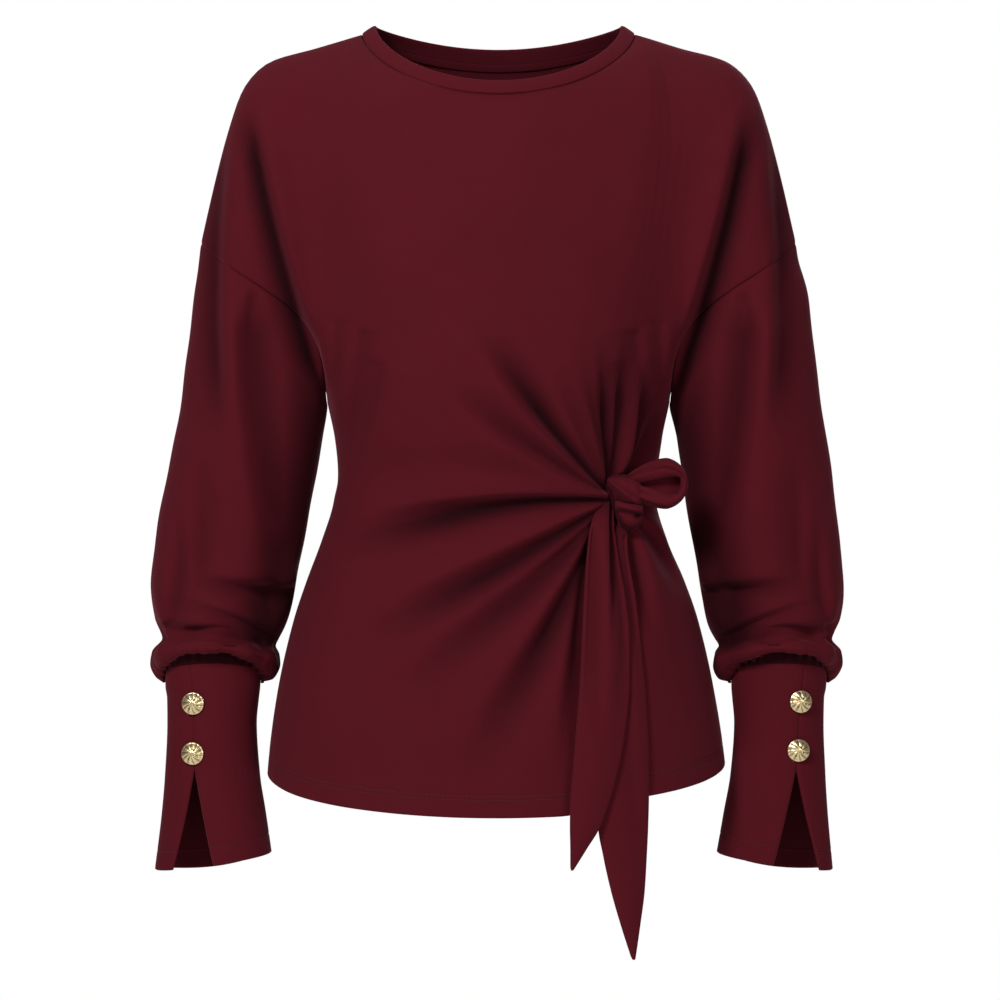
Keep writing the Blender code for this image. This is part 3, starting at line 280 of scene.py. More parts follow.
CUFF_OVER = ((0.0, 0.03, 4), (0.03, 1.0, 40))
CUFF_UNDER = ((0.0, 0.74, 28), (0.74, 0.86, 14), (0.86, 1.0, 8))

# Wall of the cloth, rounding of its edges, and how seams, hem and stitches press into it
WALL = 1.1
FLAT_RIM = 0.3
ROUND_RIM = 0.4
HEM_WALL = 2.0
HEM_STEP = 1.5
SEAM_DEPTH = 0.7
SEAM_WIDTH = 1.3
CUFF_SEAM_PRESS = 0.7
HEM_STITCHES = (12.8, 16.0)
CUFF_STITCH = 14.0
GROOVE_DEPTH = 0.35
GROOVE_WIDTH = 0.8
EASE = 0.08
ON_MIDDLE_PLANE = 0.01

# Form of a stitch: sides, then shares of its length or width, and its spacing and height
STITCH_SIDES = 6
STITCH_STRAIGHT = 0.6
STITCH_END = 0.16
STITCH_ENDS_AT = 0.35
STITCH_TAPER = 0.35
STITCH_SINKS = 0.5
STITCH_PITCH = 1.15
STITCH_STEP = 0.5
STITCH_LIFT = 0.05
FACES_ALONG = 0.9

# Slight unevenness of hanging cloth: height, and two waves by length across, length up, phase
SOFT_WAVES = (
    (0.6, (31.0, math.inf, 1.3), (math.inf, 47.0, 0.4)),
    (0.5, (17.0, -39.0, 0.8), (53.0, 71.0, 0.0)),
    (0.35, (9.0, 23.0, 0.0), (-29.0, 17.0, -1.2)),
)

# Order of a face's corners that turns it over
TURNED = [0, 3, 2, 1]

# Section of the neck band: share from its seam to its top, offset outwards
BAND_SECTION = (
    (0.0, -1.6), (0.0, -0.6), (0.01, 0.2), (0.04, 0.55), (0.1, 0.75), (0.25, 0.9), (0.5, 0.95),
    (0.75, 0.85), (0.9, 0.55), (0.97, 0.1), (1.0, -0.5), (0.98, -1.2), (0.9, -1.7), (0.7, -2.0),
    (0.4, -2.1), (0.1, -2.3), (-0.05, -2.5), (-0.07, -2.25), (-0.03, -2.0),
)

# Strip inside the back neck: reach past the neck points, share down the back, grid, place and wall
TAPE_REACH = 0.012
TAPE_DOWN = (0.0023, 0.0262)
TAPE_GRID = (130, 9)
TAPE_INSIDE = 1.95
TAPE_WALL = 0.9
TAPE_CROWN = 0.25

# Folds of the front: start x, drop, middle x, drop, end x, drop, depth, half width near, far, lean
FRONT_FOLDS = (
    (87, 363, 36, 309, -24, 226, 13.0, 1.4, 9.0, -1),
    (86, 363, 20, 326, -44, 276, 6.0, 1.3, 10.0, -1),
    (85, 358, 64, 316, 42, 260, 4.0, 1.4, 8.0, -1),
    (86, 356, 76, 310, 64, 246, 6.0, 1.4, 8.0, -1),
    (86, 352, 82, 306, 80, 240, 11.0, 1.4, 6.0, -1),
    (88, 350, 93, 302, 99, 240, 10.0, 1.3, 5.5, -1),
    (95, 350, 110, 310, 119, 250, 10.0, 1.3, 6.0, -1),
    (98, 350, 116, 320, 130, 282, 5.0, 1.3, 6.0, -1),
    (88, 366, -24, 372.5, -134, 402, 13.0, 1.4, 11.0, 1),
    (87, 368, 2, 413.5, -122, 474, 12.0, 1.4, 11.0, 1),
    (85, 370, 22, 430, -102, 524, 8.5, 1.4, 11.0, 1),
    (81, 374, 38, 460, -36, 582, 11.0, 1.8, 11.0, 1),
    (76, 384, 60, 470, 50, 592, 7.0, 2.0, 9.0, 1),
    (98, 384, 108, 420, 116, 480, 7.0, 1.6, 7.0, -1),
    (104, 378, 128, 408, 146, 452, 5.0, 1.6, 7.0, -1),
)
RIPPLES = (
    (-124, 230, -125, 262, -129, 292, 1.6, 4.5, 4.5, 1),
    (-104, 236, -112, 285, -121, 338, 2.2, 5.5, 6.5, 1),
    (-88, 262, -98, 300, -112, 345, 1.6, 5.5, 6.5, -1),
)
BACK_FOLDS = (
    (116, 350, 64, 312, -20, 262, 7.0, 7.0, 15.0, 1),
    (118, 364, 50, 366, -60, 384, 8.0, 7.0, 16.0, 1),
    (116, 380, 62, 418, -30, 470, 8.0, 7.0, 16.0, -1),
    (114, 396, 92, 450, 50, 535, 7.0, 7.0, 14.0, -1),
    (-112, 340, -60, 352, 10, 346, 4.0, 7.0, 14.0, 1),
    (110, 340, 90, 300, 60, 250, 3.0, 5.0, 10.0, -1),
    (-118, 366, -70, 396, -20, 440, 3.0, 6.0, 12.0, -1),
)

# Folds that run on from body to sleeve, given for the left and mirrored to the right
DRAPE_FOLDS = {
    FRONT: (
        (-193, 62, -167, 180, -124, 322, 15.0, 5.5, 7.0, -1),
        (-212, 82, -218, 190, -213, 330, 8.0, 5.5, 7.5, -1),
        (-191, 208, -184, 310, -158, 440, 7.5, 8.5, 12.0, 1),
    ),
    BACK: (
        (-194, 66, -168, 180, -126, 322, 11.0, 6.5, 7.0, -1),
        (-208, 180, -196, 290, -174, 400, 7.0, 7.0, 9.0, 1),
    ),
}
SLEEVE_FOLDS = {
    FRONT: (
        (-188, 203, -189, 222, -188, 250, 3.0, 3.0, 3.5, 1),
        (-150, 440, -188, 435, -252, 428, 9.0, 6.0, 5.0, 1),
        (-170, 478, -204, 458, -262, 442, 5.0, 3.5, 4.0, 1),
        (-262, 462, -244, 468, -206, 462, 4.5, 2.6, 3.5, 1),
        (-252, 478, -226, 466, -186, 474, 4.0, 2.6, 4.0, -1),
        (-176, 470, -172, 430, -156, 380, 4.0, 4.0, 7.0, 1),
        (-258, 470, -248, 420, -244, 360, 4.0, 3.0, 6.0, -1),
        (-232, 440, -230, 380, -226, 320, 3.0, 6.0, 9.0, -1),
    ),
    BACK: (
        (-150, 440, -200, 440, -256, 434, 5.0, 4.5, 5.0, 1),
        (-172, 478, -210, 462, -262, 450, 4.0, 3.5, 4.0, -1),
        (-180, 470, -196, 410, -214, 350, 5.0, 5.0, 8.0, 1),
        (-255, 472, -244, 420, -238, 350, 4.0, 4.0, 8.0, -1),
    ),
}

# Where a fold starts to fade and where it is full, as shares of its length, on each kind of piece
FOLD_FADES = (0.52, 0.04)
DRAPE_FADES = (0.75, 0.2)
SLEEVE_FADES = (0.4, 0.25)

# How far a piece has to face front or back for its folds to be full, and their reach from a seam
BODY_FACING = 0.4
SLEEVE_FACING = 0.5
DRAPE_FACING = 24.0
SEAM_CALM = 26.0
SEAM_SAMPLES = 40

# Form of a fold, in half widths, and the shade painted into its depth
FOLD_RIDGE = 0.55
RIDGE_PLACE = 1.6
FOLD_STEEP = 0.85
FOLD_GENTLE = 2.3
FOLD_SLOPE = 1.9
TROUGH_LIMIT = 15.0
RIDGE_LIMIT = 7.0
FOLD_STEPS = 12
SHADE_DEPTH = 13.0
SHADE_STEEP = 0.65
SHADE_GENTLE = 1.7
SHADE_PLACE = 0.1
INNER_SHADE = 0.45
BAND_INNER_SHADE = 0.45
BAND_SHADE_FROM = (1.0, 0.8)

# Shade on the inner side of an arm: depth, where it starts, more of it near a row, first and last rows
INWARD_SHADE = 0.75
INWARD_FROM = 0.25
ARM_SHADE_AT = (7.0, 2.6)
ARM_SHADE_MORE = (0.3, 0.7)
ARM_SHADE_IN = 1.5
ARM_SHADE_OUT = (8.0, 2.0)
ROLL_SHADE = 0.92
ROLL_SHADE_FROM = (11.3, 1.0)

# Middle of the knot, and how the cloth is drawn in behind it
KNOT_MIDDLE = 94.5
CINCH_AT = (97.0, 368.0)
CINCH_DEPTH = 6.0
CINCH_HALF = (14.0, 22.0)

# Pads of the knot: drop, left, right, front, thickness
KNOT_CORE = (
    (348.0, 90.0, 102.0, -68.0, 10.0),
    (357.0, 84.0, 107.5, -73.0, 16.0),
    (369.0, 84.0, 109.0, -74.5, 18.0),
    (380.0, 86.5, 108.0, -73.5, 16.0),
    (388.5, 92.0, 102.0, -70.0, 10.0),
)
KNOT_WRAP = (
    (347.0, 84.0, 98.0, -68.0, 7.0),
    (348.6, 82.2, 101.0, -73.5, 9.0),
    (351.5, 82.2, 106.8, -77.5, 10.5),
    (356.0, 84.4, 109.0, -80.4, 11.0),
    (361.0, 87.4, 109.8, -81.6, 11.0),
    (366.0, 91.4, 110.0, -81.4, 10.0),
    (369.2, 95.6, 109.6, -79.6, 8.0),
    (371.2, 99.0, 108.8, -76.6, 5.0),
)
KNOT_BAND = (
    (357.5, 87.0, 104.0, -70.0, 6.0),
    (362.0, 86.4, 108.5, -74.0, 9.0),
    (367.0, 87.4, 109.6, -75.5, 10.0),
    (374.0, 88.8, 109.8, -75.5, 10.0),
    (380.0, 90.4, 108.6, -73.5, 7.0),
)
KNOT_POUCH = (
    (368.4, 88.8, 108.0, -77.5, 5.0),
    (370.0, 88.0, 109.8, -81.6, 9.0),
    (372.4, 88.6, 110.2, -82.0, 11.0),
    (377.0, 89.6, 109.8, -79.8, 12.0),
    (383.0, 90.6, 108.0, -79.0, 12.0),
    (388.5, 92.4, 103.4, -75.5, 9.0),
    (392.2, 95.4, 99.6, -71.0, 4.0),
)
BAND_TILT = 0.1
POUCH_TILT = 0.2

# Form of a pad: points round and down, how blunt its ends and sides are, and its lean to the right
PAD_GRID = (64, 56)
PAD_BLUNT = (6, 0.0004)
PAD_SQUARE = 0.85
PAD_WAIST = 0.25
PAD_LEAN = (0.2, 90.0, 14.0)
PAD_TILTS_AT = 98.0
PAD_FRONT = (70.0, 6.0)
PAD_SIDE_SHADE = 0.9

# Creases of the knot: drop, slope, where to the right, width and depth, width and strength of shade
WRAP_CREASE = (349.0, 0.72, 84.0, 2.2, 1.1, 2.2, 0.2)
BAND_CREASE = (371.0, 0.35, 98.0, 1.6, 0.7, 1.6, 0.0)
POUCH_CREASE = (375.8, 0.2, 98.0, 2.0, 1.8, 1.8, 0.75)

# Upright pleat of the wrap: where to the right, slope, drop, width, depth; and the shade below its edge
WRAP_PLEAT = (98.5, 0.22, 350.0, 1.6, 0.7)
WRAP_SHADE = (350.5, 0.85, 84.0, 3.0, 0.6)

# Hollow of the pouch: place, flatness, width and depth, width and strength of shade
POUCH_HOLE = (105.6, 379.3, 1.3, 1.8, 2.8, 2.0, 0.9)

# Curved fold of the pouch: drop, curve, middle, width, height; and the shade below it
POUCH_SMILE = (382.6, 0.08, 101.9, 1.6, 1.0)
SMILE_SHADE = (1.5, 4.0, 0.7)
KNOT_BAND_SHADE = 0.5
KNOT_CORE_SHADE = 0.8

# Loop of the tie: middle and half size of its outer edge
LOOP_AT = (123.9, 354.0)
LOOP_HALF = (20.4, 19.9)

# Slit through the loop: middle, tilt, half length, and half height above, below and at the back
LOOP_SLIT_AT = (122.3, 352.5)
LOOP_TILT = 8.1
LOOP_SLIT_LENGTH = 15.7
LOOP_SLIT_ABOVE = 2.6
LOOP_SLIT_BELOW = 18.8
LOOP_SLIT_BACK = -0.6
LOOP_SLIT_POINT = 1.4
LOOP_SLIT_RISES = 5.0

# Its strip: angle left open at the knot, curl of its two edges, depths, wall, and points each way
LOOP_OPENING = 36.0
LOOP_CURL = (150.0, 176.0)
LOOP_MIDDLE_Y = -77.0
LOOP_FRONT_DEPTH = 9.0
LOOP_BACK_DEPTH = 4.0
LOOP_OVERLAP = 1.8
LOOP_WALL = 1.4
LOOP_GRID = (120, 66)
LOOP_SOFT = 0.3

# Its root in the knot: distance to the right, drop, half height, depth, and the angle it starts at
LOOP_ROOT = (99.0, 355.0, 3.6, -65.0)
LOOP_NARROWS = math.radians(75.0)
LOOP_ROOT_SHARE = 0.5

# Its pleats by the root: height, number, phase, and the angles over which they come
LOOP_PLEATS = (0.7, 4.5, 1.2)
LOOP_PLEATED = (math.radians(70.0), math.radians(60.0))

# Its two lengthwise creases: curl angle, how it drifts, width, depth, shade
LOOP_UPPER_CREASE = (1.35, 0.2, 0.16, 1.1, 0.5)
LOOP_LOWER_CREASE = (0.75, -0.3, 0.2, 0.7, 0.35)
LOOP_PLEAT_SHADE = (0.4, 0.4)
LOOP_RIM_SHADE = (0.35, 0.55, 0.5)
LOOP_INNER_SHADE = 0.0

# Tails of the tie: drop, left edge, right edge, clearance from the front panel
TAIL_FRONT = (
    (363.0, 86.0, 89.5, -9.0),
    (369.0, 79.5, 88.6, -4.0),
    (376.0, 75.0, 88.0, 0.5),
    (385.0, 71.5, 88.0, 4.0),
    (397.0, 69.3, 89.2, 6.8),
    (419.0, 67.0, 92.5, 8.4),
    (441.0, 65.5, 96.2, 8.4),
    (472.0, 63.8, 99.0, 8.4),
    (504.0, 62.0, 98.8, 8.4),
    (534.0, 59.5, 96.0, 8.4),
    (562.0, 57.2, 91.2, 8.4),
    (590.0, 54.8, 83.6, 8.4),
    (611.0, 54.3, 76.0, 8.4),
    (627.0, 54.6, 66.0, 8.4),
    (642.0, 54.6, 56.4, 8.4),
)
TAIL_BACK = (
    (380.0, 93.0, 99.5, -5.0),
    (390.2, 89.5, 98.6, 0.5),
    (404.0, 86.0, 98.5, 2.0),
    (420.0, 84.5, 100.5, 2.4),
    (440.0, 84.0, 104.0, 2.4),
    (472.0, 84.0, 107.5, 2.4),
    (511.0, 83.0, 111.2, 2.4),
    (555.0, 80.0, 113.4, 2.4),
    (586.0, 76.5, 113.6, 2.4),
    (611.0, 76.0, 113.0, 2.4),
    (632.0, 79.5, 112.0, 2.4),
    (660.0, 85.8, 110.3, 2.4),
    (686.0, 93.3, 106.9, 2.4),
    (711.0, 101.4, 103.2, 2.4),
)

# Form of a tail: points down and across, wall, crown and the width that has it, and rounded edges
TAIL_GRID = (190, 46)
TAIL_WALL = 2.4
TAIL_CLEARS = 0.3
TAIL_CROWN = (2.2, 20.0)
TAIL_EDGE = 0.12
TAIL_ROUNDING = (0.6, 0.8)
TAIL_TUCKED = 24.0
TAIL_TOP_SHADE = 0.6

# Folds of the tails, as those of the front
TAIL_FRONT_FOLDS = (
    (87, 366, 86, 415, 88, 486, 8.0, 2.4, 4.0, 1),
    (71, 384, 74, 450, 72, 560, 3.0, 2.4, 7.0, -1),
    (94, 410, 95, 460, 88, 560, 2.0, 2.4, 6.0, 1),
)
TAIL_BACK_FOLDS = (
    (89, 391, 91, 425, 99, 472, 2.2, 2.6, 5.0, 1),
    (97, 392, 101, 440, 104, 520, 1.8, 3.0, 6.0, 1),
    (92, 470, 98, 560, 104, 660, 1.0, 5.0, 8.0, -1),
)

# Look of the jersey: nap, shine, roughness, ribs, grain as scale and detail, relief as strength and depth
NAP = 0.14
NAP_ROUGH = 0.42
CLOTH_SHINE = 0.07
CLOTH_ROUGH = (0.78, 0.95)
RIB_WARP = 1.2
RIB_DETAIL = (1.0, 0.6)
RIB_SHARE = 0.7
FUZZ = (1500.0, 2.0)
PATCHES = (13.0, 2.0)
PATCH_FROM = (0.3, 0.7)
PATCH_TO = (0.35, 0.75)
STREAKS = (60.0, 3.0)
CLOTH_RELIEF = (0.28, 0.00016)

# Look of the thread, the gold and the floor
THREAD_ROUGH = 0.6
THREAD_DARK = 0.6
THREAD_GRAIN = (900.0, 2.0)
THREAD_RELIEF = (0.4, 0.0001)
GOLD_ROUGH = (0.24, 0.42)
# Tone of the painted shade in the buttons' cuts and pit marks, as a share of the gold
GOLD_PAINTED_SHADE = 0.07
GOLD_GRAIN = (420.0, 3.0)
GOLD_RELIEF = (0.35, 0.0004)
FLOOR_ROUGH = 0.9
FLOOR_GRAIN = (3.0, 2.0)
FLOOR_TONES = ((0.86, 0.86, 0.86), (0.9, 0.9, 0.9))
NODE_STEP = 200.0

# Camera: place in metres, focal length and sensor in millimetres
CAMERA_AT = (0.0012, -3.0, -0.3666)
CAMERA_LENS = 138.46
CAMERA_SENSOR = 36.0

# Floor in metres, room light, and soft lamps: name, place in metres, width, watts
FLOOR_SIZE = 6.0
WHITE = (1.0, 1.0, 1.0, 1.0)
ROOM_LIGHT = 0.16
LAMPS_AIM = (0.0, 0.0, -0.35)
LAMPS = (
    ("key_light", (-1.1, -2.2, 1.1), 0.8, 54.0),
    ("fill_light", (1.6, -2.6, 0.2), 1.4, 18.0),
    ("top_light", (0.0, 0.3, 1.9), 1.2, 12.0),
    ("back_light", (0.5, 2.6, 0.5), 1.6, 26.0),
)


def smoothstep(value):
    """Runs from 0 to 1 as its value does, level at both ends."""
    value = np.clip(value, 0.0, 1.0)
    return value * value * (3 - 2 * value)


def unit(vectors):
    """Makes vectors one long."""
    return vectors / np.maximum(np.linalg.norm(vectors, axis=-1, keepdims=True), 1e-9)


def hump(value):
    """A soft bump, 1 high and about 2 wide."""
    return np.exp(-(value ** 2))


def read_table(rows, column, at):
    """Reads a column of a table at any place, on a smooth curve that stays between its rows."""
    places = np.array([row[0] for row in rows], float)
    values = np.array([row[column] for row in rows], float)
    steps = np.diff(places)
    slopes = np.diff(values) / steps
    tangents = np.zeros(len(places))
    tangents[0] = slopes[0]
    tangents[-1] = slopes[-1]
    for i in range(1, len(slopes)):
        if slopes[i - 1] * slopes[i] > 0:
            tangents[i] = 2 * slopes[i - 1] * slopes[i] / (slopes[i - 1] + slopes[i])
    at = np.clip(np.asarray(at, float), places[0], places[-1])
    i = np.clip(np.searchsorted(places, at, side="right") - 1, 0, len(steps) - 1)
    t = (at - places[i]) / steps[i]
    return (
        values[i] * (1 + 2 * t) * (1 - t) ** 2
        + values[i + 1] * t * t * (3 - 2 * t)
        + steps[i] * (tangents[i] * t * (1 - t) ** 2 - tangents[i + 1] * t * t * (1 - t))
    )


def spread(zones):
    """Lists the lines of a grid from its zones."""
    lines = [zones[0][0]]
    for start, end, count in zones:
        for k in range(count):
            lines.append(start + (end - start) * (k + 1) / count)
    return np.array(lines)


def shoulder_rows():
    """The shoulder line with the length along it from the drop point, as a share of its whole."""
    line = np.array(SHOULDER)
    lengths = np.concatenate([[0.0], np.cumsum(np.linalg.norm(np.diff(line, axis=0), axis=1))])
    return [(length / lengths[-1], x, drop) for length, (x, drop) in zip(lengths, line)]


SHOULDER_ROWS = shoulder_rows()


def neck_point(angle, side, ring):
    """A point of the neckline seam or the binding's top, by its angle from the middle of its side."""
    half, high, depth, dip = ring
    cosine = np.maximum(np.cos(angle), 0.0)
    drop = high + dip[side] * cosine ** NECK_CURVE[side]
    return np.stack([half * np.sin(angle), side * depth[side] * cosine, -drop], axis=-1)


def torso_point(drop, angle, side):
    """A point of the torso, by its drop and its angle from the middle of the front or back."""
    half = read_table(TORSO, 1, drop)
    shift = read_table(TORSO, 2, drop)
    depth = read_table(TORSO, 3 if side == FRONT else 4, drop)
    cosine = np.maximum(np.cos(angle), 0.0)
    x = shift + half * np.sin(angle)
    return np.stack([x, side * depth * cosine ** TORSO_FULLNESS, -drop + 0 * x], axis=-1)


def armhole_share(turn):
    """How far along the armhole's slope a point lies, by its turn from the drop point to the armpit."""
    return np.sin(math.pi / 2 * turn ** ARMHOLE_POINT)


def armhole_lift(turn, side):
    """How far the armhole rises inward from its slope: to the side and up."""
    run = ARMPIT_DROP - SHOULDER[0][1]
    reach = SHOULDER[0][0] - ARMPIT_HALF
    lift = ARMHOLE_LIFT[side] * np.sin(math.pi * armhole_share(turn) ** LIFT_POINT)
    return lift * run / math.hypot(run, reach), lift * reach / math.hypot(run, reach)


def armhole_point(turn, side, hand):
    """A point of the armhole seam, by its turn from the drop point (0) to the armpit (1)."""
    inward, up = armhole_lift(turn, side)
    share = armhole_share(turn)
    x = SHOULDER[0][0] + (ARMPIT_HALF - SHOULDER[0][0]) * share - inward
    z = -SHOULDER[0][1] + (SHOULDER[0][1] - ARMPIT_DROP) * share + up
    y = side * ARMHOLE_DEPTH * np.sin(math.pi * turn)
    return np.stack([hand * x, y, z], axis=-1)


def panel_angle(across):
    """Angle at which a line of a panel meets the armpit ring."""
    edge = np.minimum(across, 1 - across)
    return np.sign(across - 0.5) * np.radians(read_table(PANEL_ANGLES, 1, edge))


def panel_top(across, side):
    """The upper edge of a panel and the way its cloth leaves it: shoulder, neckline, shoulder."""
    hand = np.where(across < 0.5, LEFT, RIGHT)
    share = np.clip(np.minimum(across, 1 - across) / NECK_SHARE, 0.0, 1.0)
    x = hand * read_table(SHOULDER_ROWS, 1, share)
    z = -read_table(SHOULDER_ROWS, 2, share)
    shoulder = np.stack([x, 0 * x, z], axis=-1)
    corner = np.stack([hand * CORNER_SLOPE[0], 0 * x + side * CORNER_ROLL, 0 * x + CORNER_SLOPE[1]], axis=-1)
    roll = np.stack([0 * x, side * read_table(SHOULDER_ROLL, 1, share), 0 * x], axis=-1)
    turn = smoothstep(2 * share - 1)[..., None]
    shoulder_way = roll * (1 - turn) + corner * turn

    angle = math.pi * (np.clip((across - NECK_SHARE) / (1 - 2 * NECK_SHARE), 0.0, 1.0) - 0.5)
    neck = neck_point(angle, side, NECK_SEAM)
    down = unit(neck - neck_point(angle, side, BINDING_TOP)) * NECK_ROLL[side]
    settle = smoothstep((math.pi / 2 - np.abs(angle)) / math.radians(NECK_BLEND))[..., None]
    neck_way = corner * (1 - settle) + down * settle

    is_neck = ((across > NECK_SHARE) & (across < 1 - NECK_SHARE))[..., None]
    return np.where(is_neck, neck, shoulder), np.where(is_neck, neck_way, shoulder_way)


def soft_top(across, side):
    """The upper edge and its direction, averaged across the corners of the neck."""
    reach = CORNER_SPREAD * smoothstep(np.minimum(across, 1 - across) / (2 * CORNER_SPREAD))
    offsets = np.linspace(-1, 1, CORNER_SAMPLES)
    weights = np.cos(offsets * math.pi / 2) ** 2 + CORNER_WEIGHT
    weights = weights / weights.sum()
    top = 0
    way = 0
    for offset, weight in zip(offsets, weights):
        edge, edge_way = panel_top(across + offset * reach, side)
        top = top + edge * weight
        way = way + edge_way * weight
    return top, way


def hang(across, down, side):
    """A panel from its upper edge (down 0) to the armpit ring (down 1), before its armholes."""
    top, top_way = soft_top(across, side)
    sharp = (panel_top(across, side)[0] - top) * (1 - smoothstep(down / CORNER_FADE))[..., None]
    angle = panel_angle(across)
    foot = torso_point(ARMPIT_DROP, angle, side)
    foot_way = (torso_point(ARMPIT_DROP + RING_STEP, angle, side) - foot) / RING_STEP * RING_PULL
    t = down[..., None]
    return (
        top * (1 + 2 * t) * (1 - t) ** 2
        + top_way * t * (1 - t) ** 2
        + foot * t * t * (3 - 2 * t)
        - foot_way * t * t * (1 - t)
        + sharp
    )


def panel_point(across, down, side):
    """A point of the front or back: down is 0 at the top, 1 at the armpit ring and 2 at the hem."""
    upper = np.clip(down, 0.0, 1.0)
    points = hang(across, upper, side)
    for hand, edge in ((LEFT, 0.0), (RIGHT, 1.0)):
        reach = 1 - smoothstep(np.abs(across - edge) / ARMHOLE_REACH)
        shift = armhole_point(upper, side, hand) - hang(0 * across + edge, upper, side)
        points = points + shift * reach[..., None]
    lower = np.clip(down - 1, 0.0, 1.0)
    even_angle = (across - 0.5) * math.pi
    angle = panel_angle(across) * (1 - smoothstep(lower)) + even_angle * smoothstep(lower)
    lift = HEM_LIFT * smoothstep((np.sin(angle) - HEM_LIFT_FROM[0]) / HEM_LIFT_FROM[1])
    hem = HEM_DROP + HEM_DIP[side] * np.cos(angle) - lift
    skirt = torso_point(ARMPIT_DROP + (hem - ARMPIT_DROP) * lower, angle, side)
    return np.where((down > 1.0)[..., None], skirt, points)


def sway(drop, hand):
    """How far an arm hangs to the right of its mirrored place."""
    return read_table(RIGHT_SWAY, 1, drop) if hand == RIGHT else 0 * drop


def sleeve_point(row, turn, side, hand):
    """A point of a sleeve, by its row of the sleeve table and its turn from the outer side."""
    outer_x, outer_drop, inner_x, inner_drop, depth, lift = (
        read_table(SLEEVE_TABLE, k, row) for k in range(1, 7)
    )
    blend = smoothstep(row / SLEEVE_ROUND_FROM)
    share = (1 - blend) * armhole_share(turn) + blend * (1 - np.cos(math.pi * turn)) / 2
    inward, up = armhole_lift(turn, side)
    x = outer_x + (inner_x - outer_x) * share - (1 - blend) * inward
    z = -outer_drop - (inner_drop - outer_drop) * share + (1 - blend) * up
    z = z + lift * np.sin(math.pi * turn)
    y = side * depth * np.sin(math.pi * turn)
    x = hand * x + sway(-z, hand) * smoothstep(row / SWAY_FROM)
    return np.stack([x + 0 * y, y, z + 0 * y], axis=-1)


def cuff_point(drop, angle, hand):
    """A point of a cuff, by its drop and its angle from the outer side over the front."""
    outer = read_table(CUFF, 1, drop)
    inner = read_table(CUFF, 2, drop)
    depth = read_table(CUFF, 3, drop)
    x = (outer + inner) / 2 + (outer - inner) / 2 * np.cos(angle)
    return np.stack([hand * x + sway(drop, hand), -depth * np.sin(angle), -drop], axis=-1)


def cuff_edge(angle):
    """Drop of the cuff's lower edge, which tilts outward and dips at the back."""
    dip = CUFF_EDGE_DIP * np.sin(angle) + CUFF_BACK_DIP * np.clip(-np.sin(angle), 0, 1) ** 2
    return CUFF_EDGE + CUFF_EDGE_TILT * np.cos(angle) + dip


def front_depth(x, drop):
    """Depth of the plain front under a point seen from the front, and its outward direction."""
    drop = np.clip(drop, ARMPIT_DROP, TORSO[-1][0])
    half = read_table(TORSO, 1, drop)
    shift = read_table(TORSO, 2, drop)
    depth = read_table(TORSO, 3, drop)
    sine = np.clip((x - shift) / half, -TORSO_SINE, TORSO_SINE)
    y = -depth * np.sqrt(1 - sine ** 2) ** TORSO_FULLNESS
    outward = unit(np.stack([(x - shift) / half ** 2, y / depth ** 2, 0 * y], axis=-1))
    return y, outward


def fold_height(x, drop, fold, fades):
    """Height and shade of one fold: a trough along a curve through three points, and its ridge."""
    x0, d0, x1, d1, x2, d2, depth, near, far, lean = fold
    t = np.linspace(0, 1, FOLD_STEPS + 1)
    weights = (2 * (t - 0.5) * (t - 1), 4 * t * (1 - t), 2 * t * (t - 0.5))
    path_x = weights[0] * x0 + weights[1] * x1 + weights[2] * x2
    path_drop = weights[0] * d0 + weights[1] * d1 + weights[2] * d2
    best = np.full(x.shape, 1e9)
    offset = np.zeros(x.shape)
    along = np.zeros(x.shape)
    for k in range(FOLD_STEPS):
        run_x = path_x[k + 1] - path_x[k]
        run_d = path_drop[k + 1] - path_drop[k]
        run = math.hypot(run_x, run_d)
        share = np.clip(((x - path_x[k]) * run_x + (drop - path_drop[k]) * run_d) / run ** 2, 0, 1)
        off_x = x - path_x[k] - share * run_x
        off_d = drop - path_drop[k] - share * run_d
        distance = np.hypot(off_x, off_d)
        closer = distance < best
        turned = np.where(run_x * off_d - run_d * off_x >= 0, 1.0, -1.0)
        best = np.where(closer, distance, best)
        offset = np.where(closer, distance * turned, offset)
        along = np.where(closer, (k + share) / FOLD_STEPS, along)
    width = near + (far - near) * along
    beside = offset * lean
    over_trough = np.where(beside > 0, SHADE_STEEP, SHADE_GENTLE) * width
    trough = hump(beside / (np.where(beside > 0, FOLD_STEEP, FOLD_GENTLE) * width))
    over = beside - RIDGE_PLACE * width
    ridge = hump(over / (np.where(over > 0, FOLD_GENTLE, FOLD_STEEP) * width))
    deep = depth * np.tanh(FOLD_SLOPE * width / depth)
    fade = (1 - smoothstep((along - fades[0]) / (1 - fades[0]))) * smoothstep(along / fades[1])
    shade = min(1.0, depth / SHADE_DEPTH) * fade * hump((beside + SHADE_PLACE * width) / over_trough)
    return deep * fade * (FOLD_RIDGE * ridge - trough), shade


def mirrored(folds):
    """The same folds on the right."""
    return [(-f[0], f[1], -f[2], f[3], -f[4], f[5], f[6], f[7], f[8], -f[9]) for f in folds]


def folds_on(points, folds, fades=FOLD_FADES):
    """Height and shade of all the folds of one table."""
    height = np.zeros(points.shape[:-1])
    light = np.ones(points.shape[:-1])
    for fold in folds:
        own, shade = fold_height(points[..., 0], -points[..., 2], fold, fades)
        height = height + own
        light = light * (1 - shade)
    return height, 1 - light


def away_from_armholes(points):
    """0 at an armhole seam and 1 away from it."""
    turns = np.linspace(0, 1, SEAM_SAMPLES)
    near = np.full(points.shape[:-1], 1e9)
    for hand in (LEFT, RIGHT):
        for side in (FRONT, BACK):
            for seam in armhole_point(turns, side, hand):
                near = np.minimum(near, np.linalg.norm(points - seam, axis=-1))
    return smoothstep(near / SEAM_CALM)


